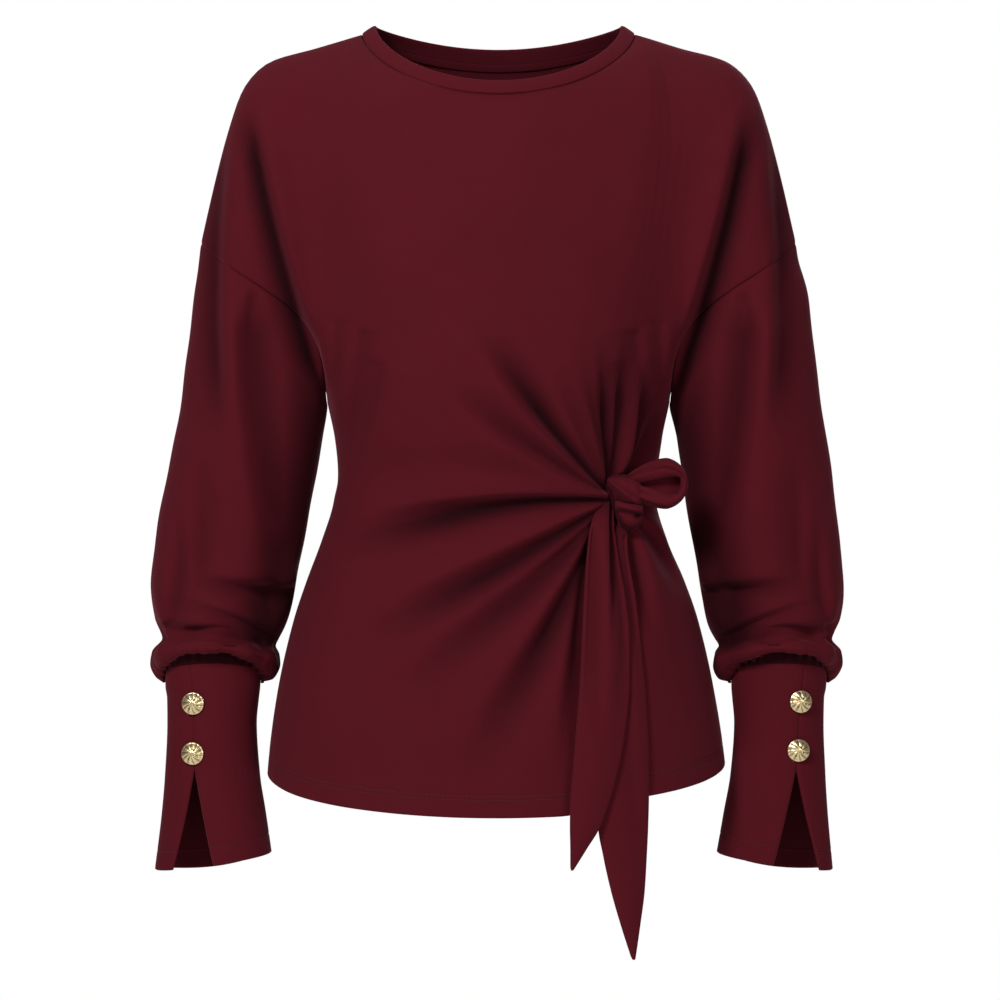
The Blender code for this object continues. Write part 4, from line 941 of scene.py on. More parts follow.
def settle(height):
    """Keeps troughs and ridges to a depth and a height."""
    return np.where(
        height < 0,
        TROUGH_LIMIT * np.tanh(height / TROUGH_LIMIT),
        RIDGE_LIMIT * np.tanh(height / RIDGE_LIMIT),
    )


def cinch(points):
    """How far the front is drawn in under the knot."""
    aside = (points[..., 0] - CINCH_AT[0]) / CINCH_HALF[0]
    below = (-points[..., 2] - CINCH_AT[1]) / CINCH_HALF[1]
    return CINCH_DEPTH * hump(np.hypot(aside, below))


def grid_normals(points, closed):
    """Outward directions of a grid whose rows run down and whose columns run round."""
    down = np.gradient(points, axis=0)
    if closed:
        across = np.roll(points, -1, axis=1) - np.roll(points, 1, axis=1)
    else:
        across = np.gradient(points, axis=1)
    return unit(np.cross(down, across))


def lengths_down(points):
    """Distance of each point from the first row, along its column."""
    steps = np.linalg.norm(np.diff(points, axis=0), axis=-1)
    return np.concatenate([np.zeros((1, points.shape[1])), np.cumsum(steps, axis=0)])


def lengths_across(points):
    """Distance of each point from the first column, along its row."""
    return lengths_down(points.transpose(1, 0, 2)).T


def cloth_map(points, closed):
    """Place of each point on the flat cloth, for the knit: across and down, in millimetres."""
    if closed:
        points = joined_round(points)
    across = lengths_across(points)
    across = across - across[:, across.shape[1] // 2][:, None]
    return np.stack([across, -lengths_down(points)], axis=-1)


def seam_dip(distance):
    """How far cloth dips towards a seam at some distance from it."""
    return SEAM_DEPTH * np.exp(-distance / SEAM_WIDTH)


def groove(distance, places):
    """Dent pressed into the cloth by rows of stitches at some distances from an edge."""
    return sum(GROOVE_DEPTH * hump((distance - place) / GROOVE_WIDTH) for place in places)


def ease_edges(points, top, bottom, sides):
    """Draws the sewn edges of a grid back from their seams by a hair."""
    eased = points.copy()
    for wanted, edge, inside in (
        (top, np.s_[0], np.s_[1]),
        (bottom, np.s_[-1], np.s_[-2]),
        (sides, np.s_[:, 0], np.s_[:, 1]),
        (sides, np.s_[:, -1], np.s_[:, -2]),
    ):
        if wanted:
            eased[edge] += unit(points[inside] - points[edge]) * EASE
    return eased


def border_loops(rows, columns, closed):
    """Rows and columns of the points along each border, in the order that makes its wall look out."""
    if closed:
        ring = np.arange(columns)
        return [(0 * ring, ring[::-1]), (0 * ring + rows - 1, ring)]
    back = np.arange(columns - 1, 0, -1)
    fall = np.arange(rows - 1)
    run = np.arange(columns - 1)
    climb = np.arange(rows - 1, 0, -1)
    loop_rows = np.concatenate([0 * back, fall, 0 * run + rows - 1, climb])
    loop_columns = np.concatenate([back, 0 * fall, run, 0 * climb + columns - 1])
    return [(loop_rows, loop_columns)]


def add_piece(name, vertices, faces, flat, material, shade=None):
    """Adds one finished piece from its points in millimetres, with the shade of its folds painted into its
    colour.
    """
    mesh = bpy.data.meshes.new(name)
    mesh.from_pydata((np.asarray(vertices) * MM).tolist(), [], [list(map(int, face)) for face in faces])
    if flat is not None:
        layer = mesh.uv_layers.new(name="cloth")
        layer.data.foreach_set("uv", (np.asarray(flat, float) * MM).ravel())
    # Painted shade, which the jersey's colour reads
    if shade is not None:
        layer = mesh.attributes.new("fold_shade", "FLOAT", "POINT")
        layer.data.foreach_set("value", np.asarray(shade, float).ravel())
    mesh.shade_smooth()
    mesh.materials.append(material)
    piece = bpy.data.objects.new(name, mesh)
    bpy.context.scene.collection.objects.link(piece)
    return piece


def numbered(grid):
    """Numbers of the points of a grid."""
    rows, columns = grid.shape[:2]
    return np.arange(rows * columns).reshape(rows, columns)


def quads(grid):
    """Corners of the faces of a grid of numbers."""
    corners = [grid[:-1, :-1], grid[1:, :-1], grid[1:, 1:], grid[:-1, 1:]]
    return np.stack(corners, axis=-1).reshape(-1, 4)


def joined_round(grid):
    """A grid with its first column again at its end."""
    return np.concatenate([grid, grid[:, :1]], axis=1)


def add_shell(name, outer, inner, closed, material, rim=0.0, shade=None, inner_shade=INNER_SHADE):
    """Adds a thin shell from its two sides, with its edges closed and rounded by the rim."""
    shade = np.zeros(outer.shape[:2]) if shade is None else shade
    shades = [shade.ravel(), 0 * shade.ravel() + inner_shade]
    rows, columns = outer.shape[:2]
    count = rows * columns
    number = numbered(outer)
    flat = cloth_map(outer, closed)
    flat_number = numbered(flat)
    if closed:
        number = joined_round(number)
    faces = [quads(number), quads(number)[:, ::-1] + count]
    places = [quads(flat_number), quads(flat_number)[:, ::-1]]
    vertices = [outer.reshape(-1, 3), inner.reshape(-1, 3)]
    start = 2 * count
    for loop_rows, loop_columns in border_loops(rows, columns, closed):
        inside_rows = np.clip(loop_rows, 1, rows - 2)
        inside_columns = loop_columns if closed else np.clip(loop_columns, 1, columns - 2)
        edge = outer[loop_rows, loop_columns]
        under = inner[loop_rows, loop_columns]
        away = unit(edge - outer[inside_rows, inside_columns])
        wall = np.linalg.norm(edge - under, axis=-1, keepdims=True)
        vertices.append((edge + under) / 2 + away * wall * rim)
        shades.append(shade[loop_rows, loop_columns])
        first = number[loop_rows, loop_columns]
        middle = start + np.arange(len(first))
        place = flat_number[loop_rows, loop_columns]
        turned = [np.roll(line, -1) for line in (first, middle, place)]
        faces.append(np.stack([first, middle, turned[1], turned[0]], axis=-1))
        faces.append(np.stack([middle, first + count, turned[0] + count, turned[1]], axis=-1))
        places += [np.stack([place, place, turned[2], turned[2]], axis=-1)] * 2
        start += len(first)
    flat_points = flat.reshape(-1, 2)[np.concatenate(places)].reshape(-1, 2)
    points = np.concatenate(vertices)
    return add_piece(name, points, np.concatenate(faces), flat_points, material, np.concatenate(shades))


def dress(piece, node):
    """Puts a piece in the place of its solid."""
    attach(piece, "root")
    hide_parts(node)


def soft_waves(points):
    """Slight unevenness of hanging cloth."""
    x = points[..., 0]
    z = points[..., 2]
    total = 0
    for height, *waves in SOFT_WAVES:
        first, second = (np.sin(x / across + z / up + phase) for across, up, phase in waves)
        total = total + height * (first * second)
    return total


def body_sheet(side):
    """Outer side of the front or back with its folds, as a fine grid."""
    across = spread(FRONT_LINES if side == FRONT else BACK_LINES)
    if side == BACK:
        across = across[::-1]
    down = np.concatenate([spread(UPPER_LINES), spread(LOWER_LINES[side])[1:]])
    points = panel_point(*np.meshgrid(across, down), side)
    normals = grid_normals(points, False)
    normals[np.abs(points[..., 1]) < ON_MIDDLE_PLANE, 1] = 0.0
    normals = unit(normals)
    facing = smoothstep(side * normals[..., 1] / BODY_FACING)
    ripples = list(RIPPLES) + mirrored(RIPPLES) if side == FRONT else []
    own, shade = folds_on(points, list(FRONT_FOLDS if side == FRONT else BACK_FOLDS) + ripples)
    own = settle(own) + soft_waves(points)
    inside = facing * away_from_armholes(points)
    own = own * inside
    if side == FRONT:
        own = own - cinch(points)
    shift, draped = drape(points, side)
    return points + normals * own[..., None] + shift, np.maximum(shade * inside, draped)


def drape(points, side):
    """Shift and shade of the cloth in the folds that run from body to sleeve."""
    folds = list(DRAPE_FOLDS[side]) + mirrored(DRAPE_FOLDS[side])
    inside = smoothstep(np.abs(points[..., 1]) / DRAPE_FACING)
    height, shade = folds_on(points, folds, DRAPE_FADES)
    height = height * inside
    return np.stack([0 * height, side * height, 0 * height], axis=-1), shade * inside


def add_body(name, side, material):
    """Adds the front or back."""
    points, shade = body_sheet(side)
    points = ease_edges(points, True, False, True)
    normals = grid_normals(points, False)
    across = lengths_across(points)
    down = lengths_down(points)
    to_hem = down[-1] - down
    dip = seam_dip(down) + seam_dip(across) + seam_dip(across[:, -1:] - across)
    outer = points - normals * (dip + groove(to_hem, HEM_STITCHES))[..., None]
    wall = WALL + (HEM_WALL - WALL) * smoothstep((HEM_STITCHES[1] + HEM_STEP - to_hem) / HEM_STEP)
    inner = outer - normals * wall[..., None]
    keep_side = np.maximum if side == BACK else np.minimum
    for wall_side in (outer, inner):
        wall_side[..., 1] = keep_side(wall_side[..., 1], side * EASE)
    return add_shell(name, outer, inner, False, material, FLAT_RIM, shade), outer, to_hem


def uneven_pleats(turn, pleats):
    """Pleats round a sleeve, unevenly spaced and of uneven height."""
    number, (shift, shift_times, shift_phase), (swell, swell_times, swell_phase) = pleats
    spacing = shift * np.sin(shift_times * turn + shift_phase)
    return np.cos(number * turn + spacing) * (1 + swell * np.sin(swell_times * turn + swell_phase))


def arm_shade(points, level, hand):
    """Shade on the inner side of a sleeve and under the roll above its cuff."""
    middle = (np.max(points[..., 0], axis=1) + np.min(points[..., 0], axis=1))[:, None] / 2
    half_wide = np.max(points[..., 0], axis=1)[:, None] - middle
    reach = ARM_SHADE_MORE[0] * hump((level - ARM_SHADE_AT[0]) / ARM_SHADE_AT[1])
    aside = -hand * (points[..., 0] - middle) / half_wide + reach
    inward = smoothstep((aside - INWARD_FROM) / (1 - INWARD_FROM)) * (1 + ARM_SHADE_MORE[1] * reach)
    ended = smoothstep((level - ARM_SHADE_OUT[0]) / ARM_SHADE_OUT[1])
    along = smoothstep(level / ARM_SHADE_IN) * (1 - ended)
    under = smoothstep((level - ROLL_SHADE_FROM[0]) / ROLL_SHADE_FROM[1])
    return np.maximum(INWARD_SHADE * inward * along, ROLL_SHADE * under)


def add_sleeve(name, hand, material):
    """Adds one sleeve with its folds and gathers."""
    half = np.linspace(0, 1, SLEEVE_ROUND // 2 + 1)
    rows = spread(SLEEVE_LINES)
    turns, levels = np.meshgrid(half, rows)
    front = sleeve_point(levels, turns, FRONT, hand)
    back = sleeve_point(levels, turns[:, ::-1], BACK, hand)
    points = np.concatenate([front[:, :-1], back[:, :-1]], axis=1)
    if hand == RIGHT:
        points = np.roll(points[:, ::-1], 1, axis=1)
    normals = grid_normals(points, True)
    level = np.repeat(rows[:, None], points.shape[1], axis=1)
    shift = np.zeros(points.shape)
    height = np.zeros(points.shape[:-1])
    shade = np.zeros(points.shape[:-1])
    for side in (FRONT, BACK):
        folds = SLEEVE_FOLDS[side] if hand == LEFT else mirrored(SLEEVE_FOLDS[side])
        facing = smoothstep(side * normals[..., 1] / SLEEVE_FACING)
        own, own_shade = folds_on(points, folds, SLEEVE_FADES)
        height += own * facing
        on_side = side * points[..., 1] > 0
        draped, draped_shade = drape(points, side)
        shift += draped * on_side[..., None]
        shade += np.maximum(own_shade * facing, draped_shade * on_side)
    calm = 1 - smoothstep((level - SLEEVE_CALM[0]) / SLEEVE_CALM[1])
    shade = np.clip(np.maximum(shade * calm, arm_shade(points, level, hand)), 0, 1)
    turn = 2 * math.pi * np.arange(points.shape[1]) / points.shape[1]
    wave = uneven_pleats(turn, GATHERS)
    fine = uneven_pleats(turn, PLEATS)
    height = (height + SLEEVE_WAVES * soft_waves(points) * smoothstep(level)) * calm
    height += read_table(GATHER_HEIGHT, 1, level) * wave + read_table(PLEAT_HEIGHT, 1, level) * fine
    points = points + normals * height[..., None] + shift * calm[..., None]
    points = ease_edges(points, True, False, False)
    normals = grid_normals(points, True)
    outer = points - normals * seam_dip(lengths_down(points))[..., None]
    return add_shell(name, outer, outer - normals * WALL, True, material, 0.0, shade)


def add_cuff(name, hand, material):
    """Adds one cuff: a band whose front seam opens into a slit."""
    rings = []
    over = [(share, 0.0) for share in spread(CUFF_OVER)]
    under = [(1.0, share) for share in spread(CUFF_UNDER)[1:]]
    for down, opened in over + under:
        reach = CUFF_SEAM_DROP + (SLIT_APEX - CUFF_SEAM_DROP) * down + (CUFF_EDGE - SLIT_APEX) * opened
        middle = math.radians(float(read_table(SLIT_ANGLE[hand], 1, reach)))
        opening = math.radians(SLIT_OPENING[hand]) * opened + SLIT_GAP
        angle = np.linspace(middle + opening, middle - opening + 2 * math.pi, CUFF_LINES + 1)
        seam = CUFF_SEAM_DROP + CUFF_SEAM_ARCH * (1 - np.abs(np.sin(angle)))
        level = seam + (SLIT_APEX - seam) * down + (cuff_edge(angle) - SLIT_APEX) * opened
        rings.append(cuff_point(level, angle, hand))
    points = np.array(rings)
    if hand == RIGHT:
        points = points[:, ::-1]
    normals = grid_normals(points, False)
    for row in normals[:len(over)]:
        row[[0, -1]] = unit(row[0] + row[-1])
    across = lengths_across(points)
    down = lengths_down(points)
    to_edge = down[-1] - down
    dip = CUFF_SEAM_PRESS * seam_dip(across) + CUFF_SEAM_PRESS * seam_dip(across[:, -1:] - across)
    dip = dip + groove(to_edge, (CUFF_STITCH,))
    outer = points - normals * dip[..., None]
    piece = add_shell(name, outer, outer - normals * CUFF_WALL, False, material, ROUND_RIM)
    return piece, outer, to_edge


def add_binding(material):
    """Adds the band round the neck, standing on the neckline seam."""
    angle = np.linspace(-math.pi / 2, math.pi / 2, NECK_ROUND)
    sides = ((angle, FRONT), (angle[::-1], BACK))
    top, seam = (
        np.concatenate([neck_point(turn, side, ring)[:-1] for turn, side in sides])
        for ring in (BINDING_TOP, NECK_SEAM)
    )
    normals = grid_normals(np.array([top, seam]), True)[0]
    section = BAND_SECTION[::-1]
    rings = [seam * (1 - share) + top * share + normals * offset for share, offset in section]
    grid = np.array(rings).transpose(1, 0, 2)
    number = numbered(grid)
    number = joined_round(np.concatenate([number, number[:1]]))
    faces = quads(number)[:, TURNED]
    closed = joined_round(np.concatenate([grid, grid[:1]]))
    flat = np.stack([lengths_down(closed), lengths_across(closed)], axis=-1)
    flat = flat.reshape(-1, 2)[quads(numbered(closed))[:, TURNED]].reshape(-1, 2)
    offsets = np.array([offset for share, offset in section])
    inside = smoothstep(-(offsets + BAND_SHADE_FROM[0]) / BAND_SHADE_FROM[1])
    shade = np.repeat((BAND_INNER_SHADE * inside)[None], len(grid), axis=0)
    return add_piece("neck_band", grid.reshape(-1, 3), faces, flat, material, shade)


def add_tape(material):
    """Adds the strip over the back neck seam, inside the back."""
    across = np.linspace(1 - NECK_SHARE - TAPE_REACH, NECK_SHARE + TAPE_REACH, TAPE_GRID[0])
    down = np.linspace(*TAPE_DOWN, TAPE_GRID[1])
    points = panel_point(*np.meshgrid(across, down), BACK)
    normals = grid_normals(points, False)
    outer = points - normals * TAPE_INSIDE
    crown = TAPE_CROWN * np.sin(np.linspace(0, math.pi, len(down)))[:, None, None]
    return add_shell("neck_strip", outer, outer - normals * (TAPE_WALL + crown), False, material, FLAT_RIM)


def pad(table, tilt):
    """Points of one rounded pad of the knot, from its table."""
    columns, rows = PAD_GRID
    drops = np.linspace(table[0][0], table[-1][0], rows)
    share = np.linspace(-1, 1, rows)
    ends = np.clip(1 - np.abs(share) ** PAD_BLUNT[0], PAD_BLUNT[1], 1) ** 0.5
    left, right, front, thick = (read_table(table, k, drops) for k in range(1, 5))
    around = math.pi - 2 * math.pi * np.arange(columns) / columns
    cosine, sine = (np.sign(part) * np.abs(part) ** PAD_SQUARE for part in (np.cos(around), np.sin(around)))
    middle = (left + right) / 2
    x = middle[:, None] + ((right - left) / 2 * (1 - PAD_WAIST + PAD_WAIST * ends))[:, None] * cosine
    y = (front + thick / 2)[:, None] - (thick / 2 * ends)[:, None] * sine
    y = y + PAD_LEAN[0] * (x - KNOT_MIDDLE) * smoothstep((x - PAD_LEAN[1]) / PAD_LEAN[2])
    z = -drops[:, None] - tilt * (x - PAD_TILTS_AT)
    return np.stack([x, y, z], axis=-1)


def pad_faces(points, start):
    """Faces of a pad whose points start at a number."""
    number = joined_round(numbered(points) + start)
    return quads(number).tolist() + [number[0, :-1].tolist(), number[-1, :-1][::-1].tolist()]


def crease(x, drop, line):
    """Dent and shade of one crease of the knot."""
    at_drop, slope, at_x, width, depth, shade_width, strength = line
    apart = drop - at_drop - slope * (x - at_x)
    return depth * hump(apart / width), strength * hump(apart / shade_width)


def wrap_relief(x, drop):
    """Dents and shade of the wrap: its crease, its upright pleat and the shade below."""
    dent, shade = crease(x, drop, WRAP_CREASE)
    at_x, slope, at_drop, width, depth = WRAP_PLEAT
    dent = dent + depth * hump((x - at_x - slope * (drop - at_drop)) / width)
    at_drop, slope, at_x, width, strength = WRAP_SHADE
    below = smoothstep((drop - at_drop - slope * (x - at_x)) / width)
    return dent, strength * below + shade


def pouch_relief(x, drop):
    """Dents and shade of the pouch: its hollow, its crease and the fold below."""
    at_x, at_drop, flatness, width, depth, shade_width, strength = POUCH_HOLE
    apart = np.hypot((x - at_x) / flatness, drop - at_drop)
    hole = depth * hump(apart / width)
    hole_shade = strength * hump(apart / shade_width)
    at_drop, curve, middle, width, height = POUCH_SMILE
    smile = drop - at_drop + curve * (x - middle) ** 2
    below = SMILE_SHADE[2] * smoothstep((smile - SMILE_SHADE[0]) / SMILE_SHADE[1])
    dent, shade = crease(x, drop, POUCH_CREASE)
    return hole + (dent - height * hump(smile / width)), shade + hole_shade + below


def band_relief(x, drop):
    """Dent and shade of the band."""
    dent, shade = crease(x, drop, BAND_CREASE)
    return dent, shade + KNOT_BAND_SHADE


def core_relief(x, drop):
    """Even shade of the core."""
    return 0 * x, 0 * drop + KNOT_CORE_SHADE


def add_knot(material):
    """Adds the knot: a core, the wrap over it, the band below the wrap and the pouch."""
    pads = (
        (KNOT_CORE, 0.0, core_relief),
        (KNOT_BAND, BAND_TILT, band_relief),
        (KNOT_POUCH, POUCH_TILT, pouch_relief),
        (KNOT_WRAP, 0.0, wrap_relief),
    )
    vertices = []
    faces = []
    shades = []
    for table, tilt, relief in pads:
        points = pad(table, tilt)
        ahead = smoothstep(-(points[..., 1] + PAD_FRONT[0]) / PAD_FRONT[1])
        dent, shade = relief(points[..., 0], -points[..., 2])
        points[..., 1] += dent * ahead
        shades.append(np.clip(np.maximum(shade, PAD_SIDE_SHADE * (1 - ahead)), 0, 1).ravel())
        faces += pad_faces(points, sum(len(block) for block in vertices))
        vertices.append(points.reshape(-1, 3))
    vertices = np.concatenate(vertices)
    flat = [(vertices[i][0], vertices[i][2]) for face in faces for i in face]
    return add_piece("knot_wraps", vertices, faces, flat, material, np.concatenate(shades))


def loop_crease(turns, curls, line):
    """How near points of the loop are to one of its lengthwise creases."""
    return hump((curls + line[0] + line[1] * np.cos(turns)) / line[2])


def loop_relief(turns, curls):
    """Height and shade of the loop's pleats and lengthwise creases."""
    near_root = smoothstep((np.abs(turns) - LOOP_PLEATED[0]) / LOOP_PLEATED[1])
    upper = smoothstep(np.sin(turns) / LOOP_SOFT)
    lower = smoothstep(-np.sin(turns) / LOOP_SOFT)
    wave = LOOP_PLEATS[1] * curls + LOOP_PLEATS[2] * np.sign(turns)
    pleats = LOOP_PLEATS[0] * near_root * np.cos(wave)
    first = loop_crease(turns, curls, LOOP_UPPER_CREASE)
    second = loop_crease(turns, curls, LOOP_LOWER_CREASE)
    height = pleats * (1 + lower) - LOOP_UPPER_CREASE[3] * upper * first * (1 - near_root)
    height = height - LOOP_LOWER_CREASE[3] * lower * second
    shade = LOOP_UPPER_CREASE[4] * upper * first * (1 - near_root) + LOOP_LOWER_CREASE[4] * lower * second
    shade = shade + LOOP_PLEAT_SHADE[0] * near_root * hump(np.cos(wave / 2) / LOOP_PLEAT_SHADE[1])
    rim = LOOP_RIM_SHADE[0] * smoothstep((curls + LOOP_RIM_SHADE[1]) / LOOP_RIM_SHADE[2])
    return height, np.clip(shade + rim, 0, 1)


def add_loop(material):
    """Adds the loop: a strip bent round on itself, its edges curling in to a slit."""
    turns = np.radians(np.linspace(180 - LOOP_OPENING, -180 + LOOP_OPENING, LOOP_GRID[0]))[:, None]
    curls = np.radians(np.linspace(-LOOP_CURL[0], LOOP_CURL[1], LOOP_GRID[1]))[None]
    tilt = math.radians(LOOP_TILT)
    outer = (LOOP_HALF[0] * np.cos(turns) + LOOP_AT[0], LOOP_HALF[1] * np.sin(turns) - LOOP_AT[1])
    slit_x = LOOP_SLIT_LENGTH * np.cos(turns)
    slit_half = np.where(turns > 0, LOOP_SLIT_ABOVE, LOOP_SLIT_BELOW)
    slit_half = slit_half * (0.5 + 0.5 * np.cos(turns)) ** LOOP_SLIT_POINT
    behind = smoothstep(curls / (math.pi / 2))
    slit_half = slit_half + (LOOP_SLIT_BACK - slit_half) * behind
    slit_z = slit_half * np.sin(turns) + LOOP_SLIT_RISES * behind
    slit = (
        slit_x * math.cos(tilt) - slit_z * math.sin(tilt) + LOOP_SLIT_AT[0],
        slit_x * math.sin(tilt) + slit_z * math.cos(tilt) - LOOP_SLIT_AT[1],
    )
    root = smoothstep((np.abs(turns) - LOOP_NARROWS) / (turns[0] - LOOP_NARROWS))
    root_at = (LOOP_ROOT[0], -LOOP_ROOT[1] + np.sign(turns) * LOOP_ROOT[2])
    parts = []
    for k in range(2):
        middle = (outer[k] + slit[k]) / 2 * (1 - root) + root_at[k] * root
        arm = (outer[k] - slit[k]) / 2 * (1 - LOOP_ROOT_SHARE * root)
        parts.append(middle + arm * np.cos(curls))
    depth = LOOP_MIDDLE_Y * (1 - root) + LOOP_ROOT[3] * root
    half_deep = np.where(curls > 0, LOOP_BACK_DEPTH, LOOP_FRONT_DEPTH)
    depth = depth + half_deep * (1 - LOOP_ROOT_SHARE * root) * np.sin(curls)
    depth = depth - LOOP_OVERLAP * np.tanh(np.sin(turns) / LOOP_SOFT) * behind * (1 - root)
    points = np.stack([parts[0], depth, parts[1]], axis=-1)
    height, shade = loop_relief(turns, curls)
    points = points + grid_normals(points, False) * height[..., None]
    inner = points - grid_normals(points, False) * LOOP_WALL
    return add_shell("loop_band", points, inner, False, material, ROUND_RIM, shade, LOOP_INNER_SHADE)


def add_tail(name, table, folds, material):
    """Adds one hanging end with its lengthwise folds, down to its point."""
    drops = np.linspace(table[0][0], table[-1][0], TAIL_GRID[0])[:, None]
    share = np.linspace(0, 1, TAIL_GRID[1])[None]
    left, right, clear = (read_table(table, k, drops) for k in range(1, 4))
    x = left + (right - left) * share
    drop = drops + 0 * x
    y, outward = front_depth(x, drop)
    crown = TAIL_CROWN[0] * np.sin(math.pi * share) * np.minimum(1.0, (right - left) / TAIL_CROWN[1])
    y = y - clear - TAIL_WALL - crown
    points = np.stack([x, y, -drop], axis=-1)
    edge = smoothstep(np.minimum(share, 1 - share) / TAIL_EDGE)
    tucked = 1 - smoothstep((drop - table[0][0]) / TAIL_TUCKED)
    height, shade = folds_on(points, folds)
    height = height * edge
    outer = points + outward * height[..., None]
    across = lengths_across(outer)
    rounded = np.minimum(across, across[:, -1:] - across)
    outer = outer - outward * (TAIL_ROUNDING[0] * np.exp(-rounded / TAIL_ROUNDING[1]))[..., None]
    inner = outer - outward * (TAIL_WALL - TAIL_CLEARS)
    shade = np.maximum(shade * edge, TAIL_TOP_SHADE * tucked)
    return add_shell(name, outer, inner, False, material, ROUND_RIM, shade)


def deselect():
    """Leaves nothing selected."""
    for item in bpy.context.selected_objects:
        item.select_set(False)


class SweatshirtSizes(bpy.types.PropertyGroup):
    """Sizes that a maker may change."""

    stitch_length: FloatProperty(
        name="Stitch length",
        description="Length of one stitch of the hem and cuffs",
        default=0.0026,
        min=0.001,
        max=0.006,
        unit="LENGTH",
    )
    stitch_width: FloatProperty(
        name="Thread width",
        description="Width of the sewing thread",
        default=0.00042,
        min=0.0002,
        max=0.001,
        unit="LENGTH",
    )
    knit_rib: FloatProperty(
        name="Knit rib",
        description="Width of one rib of the jersey",
        default=0.0009,
        min=0.0004,
        max=0.003,
        unit="LENGTH",
    )
    floor_drop: FloatProperty(
        name="Floor drop",
        description="How far the floor lies below the shoulders",
        default=1.25,
        min=0.8,
        max=3.0,
        unit="LENGTH",
    )


class SweatshirtColours(bpy.types.PropertyGroup):
    """Colours that a maker may change."""

    wine: FloatVectorProperty(
        name="Wine",
        description="Colour of the jersey",
        default=(0.091, 0.0064, 0.0121),
        min=0.0,
        max=1.0,
        subtype="COLOR",
    )
    wine_dark: FloatVectorProperty(
        name="Wine shade",
        description="Darker yarns of the jersey",
        default=(0.063, 0.0041, 0.008),
        min=0.0,
        max=1.0,
        subtype="COLOR",
    )
    # Painted shade: the tone the jersey's colour is drawn towards in its folds, hollows and inner sides
    wine_painted_shade: FloatVectorProperty(
        name="Wine in painted fold shade",
        description="Painted shade of the jersey in the depth of its folds",
        default=(0.014, 0.0011, 0.0023),
        min=0.0,
        max=1.0,
        subtype="COLOR",
    )
    sheen: FloatVectorProperty(
        name="Nap",
        description="Colour of the nap where light grazes the cloth",
        default=(0.9, 0.23, 0.33),
        min=0.0,
        max=1.0,
        subtype="COLOR",
    )
    thread: FloatVectorProperty(
        name="Thread",
        description="Colour of the sewing thread",
        default=(0.06, 0.006, 0.01),
        min=0.0,
        max=1.0,
        subtype="COLOR",
    )
    gold: FloatVectorProperty(
        name="Gold",
        description="Colour of the buttons",
        default=(0.9, 0.72, 0.4),
        min=0.0,
        max=1.0,
        subtype="COLOR",
    )


def link(tree, start, end):
    """Joins an output to an input."""
    tree.links.new(start, end)


def new_node(tree, kind, **values):
    """Adds a node beside the last one and sets its plain values."""
    item = tree.nodes.new(kind)
    item.location = (-NODE_STEP * len(tree.nodes), 0)
    for name, value in values.items():
        setattr(item, name, value)
    return item


def set_inputs(item, **values):
    """Sets inputs of a node by name, with _ for each space."""
    for name, value in values.items():
        item.inputs[name.replace("_", " ")].default_value = value


def noise(tree, source, grain):
    """Adds soft noise on the given coordinates, by its scale and detail."""
    item = new_node(tree, "ShaderNodeTexNoise")
    set_inputs(item, Scale=grain[0], Detail=grain[1])
    link(tree, source, item.inputs["Vector"])
    return item.outputs["Fac"]


def mix_colour(tree, factor, first, second):
    """Adds a mix of two colours."""
    item = new_node(tree, "ShaderNodeMix", data_type="RGBA")
    link(tree, factor, item.inputs[0])
    for socket, colour in ((item.inputs[6], first), (item.inputs[7], second)):
        if isinstance(colour, bpy.types.NodeSocket):
            link(tree, colour, socket)
        else:
            socket.default_value = (*colour, 1.0)
    return item.outputs[2]


def map_range(tree, source, become, given=(0.0, 1.0)):
    """Adds a change of a value from its given limits to others."""
    item = new_node(tree, "ShaderNodeMapRange")
    set_inputs(item, From_Min=given[0], From_Max=given[1], To_Min=become[0], To_Max=become[1])
    link(tree, source, item.inputs["Value"])
    return item.outputs["Result"]


def add_bump(tree, shader, source, relief):
    """Adds fine relief to a shader, by its strength and depth."""
    item = new_node(tree, "ShaderNodeBump")
    set_inputs(item, Strength=relief[0], Distance=relief[1])
    link(tree, source, item.inputs["Height"])
    link(tree, item.outputs["Normal"], shader.inputs["Normal"])


def own_shade_of(tree, name):
    """Adds a reading of one of a mesh's own shades."""
    return new_node(tree, "ShaderNodeAttribute", attribute_name=name).outputs["Fac"]


def new_material(name, **values):
    """Adds a material and sets values of its shader."""
    material = bpy.data.materials.new(name)
    material.use_nodes = True
    tree = material.node_tree
    shader = tree.nodes["Principled BSDF"]
    set_inputs(shader, **values)
    return material, tree, shader, new_node(tree, "ShaderNodeTexCoord").outputs


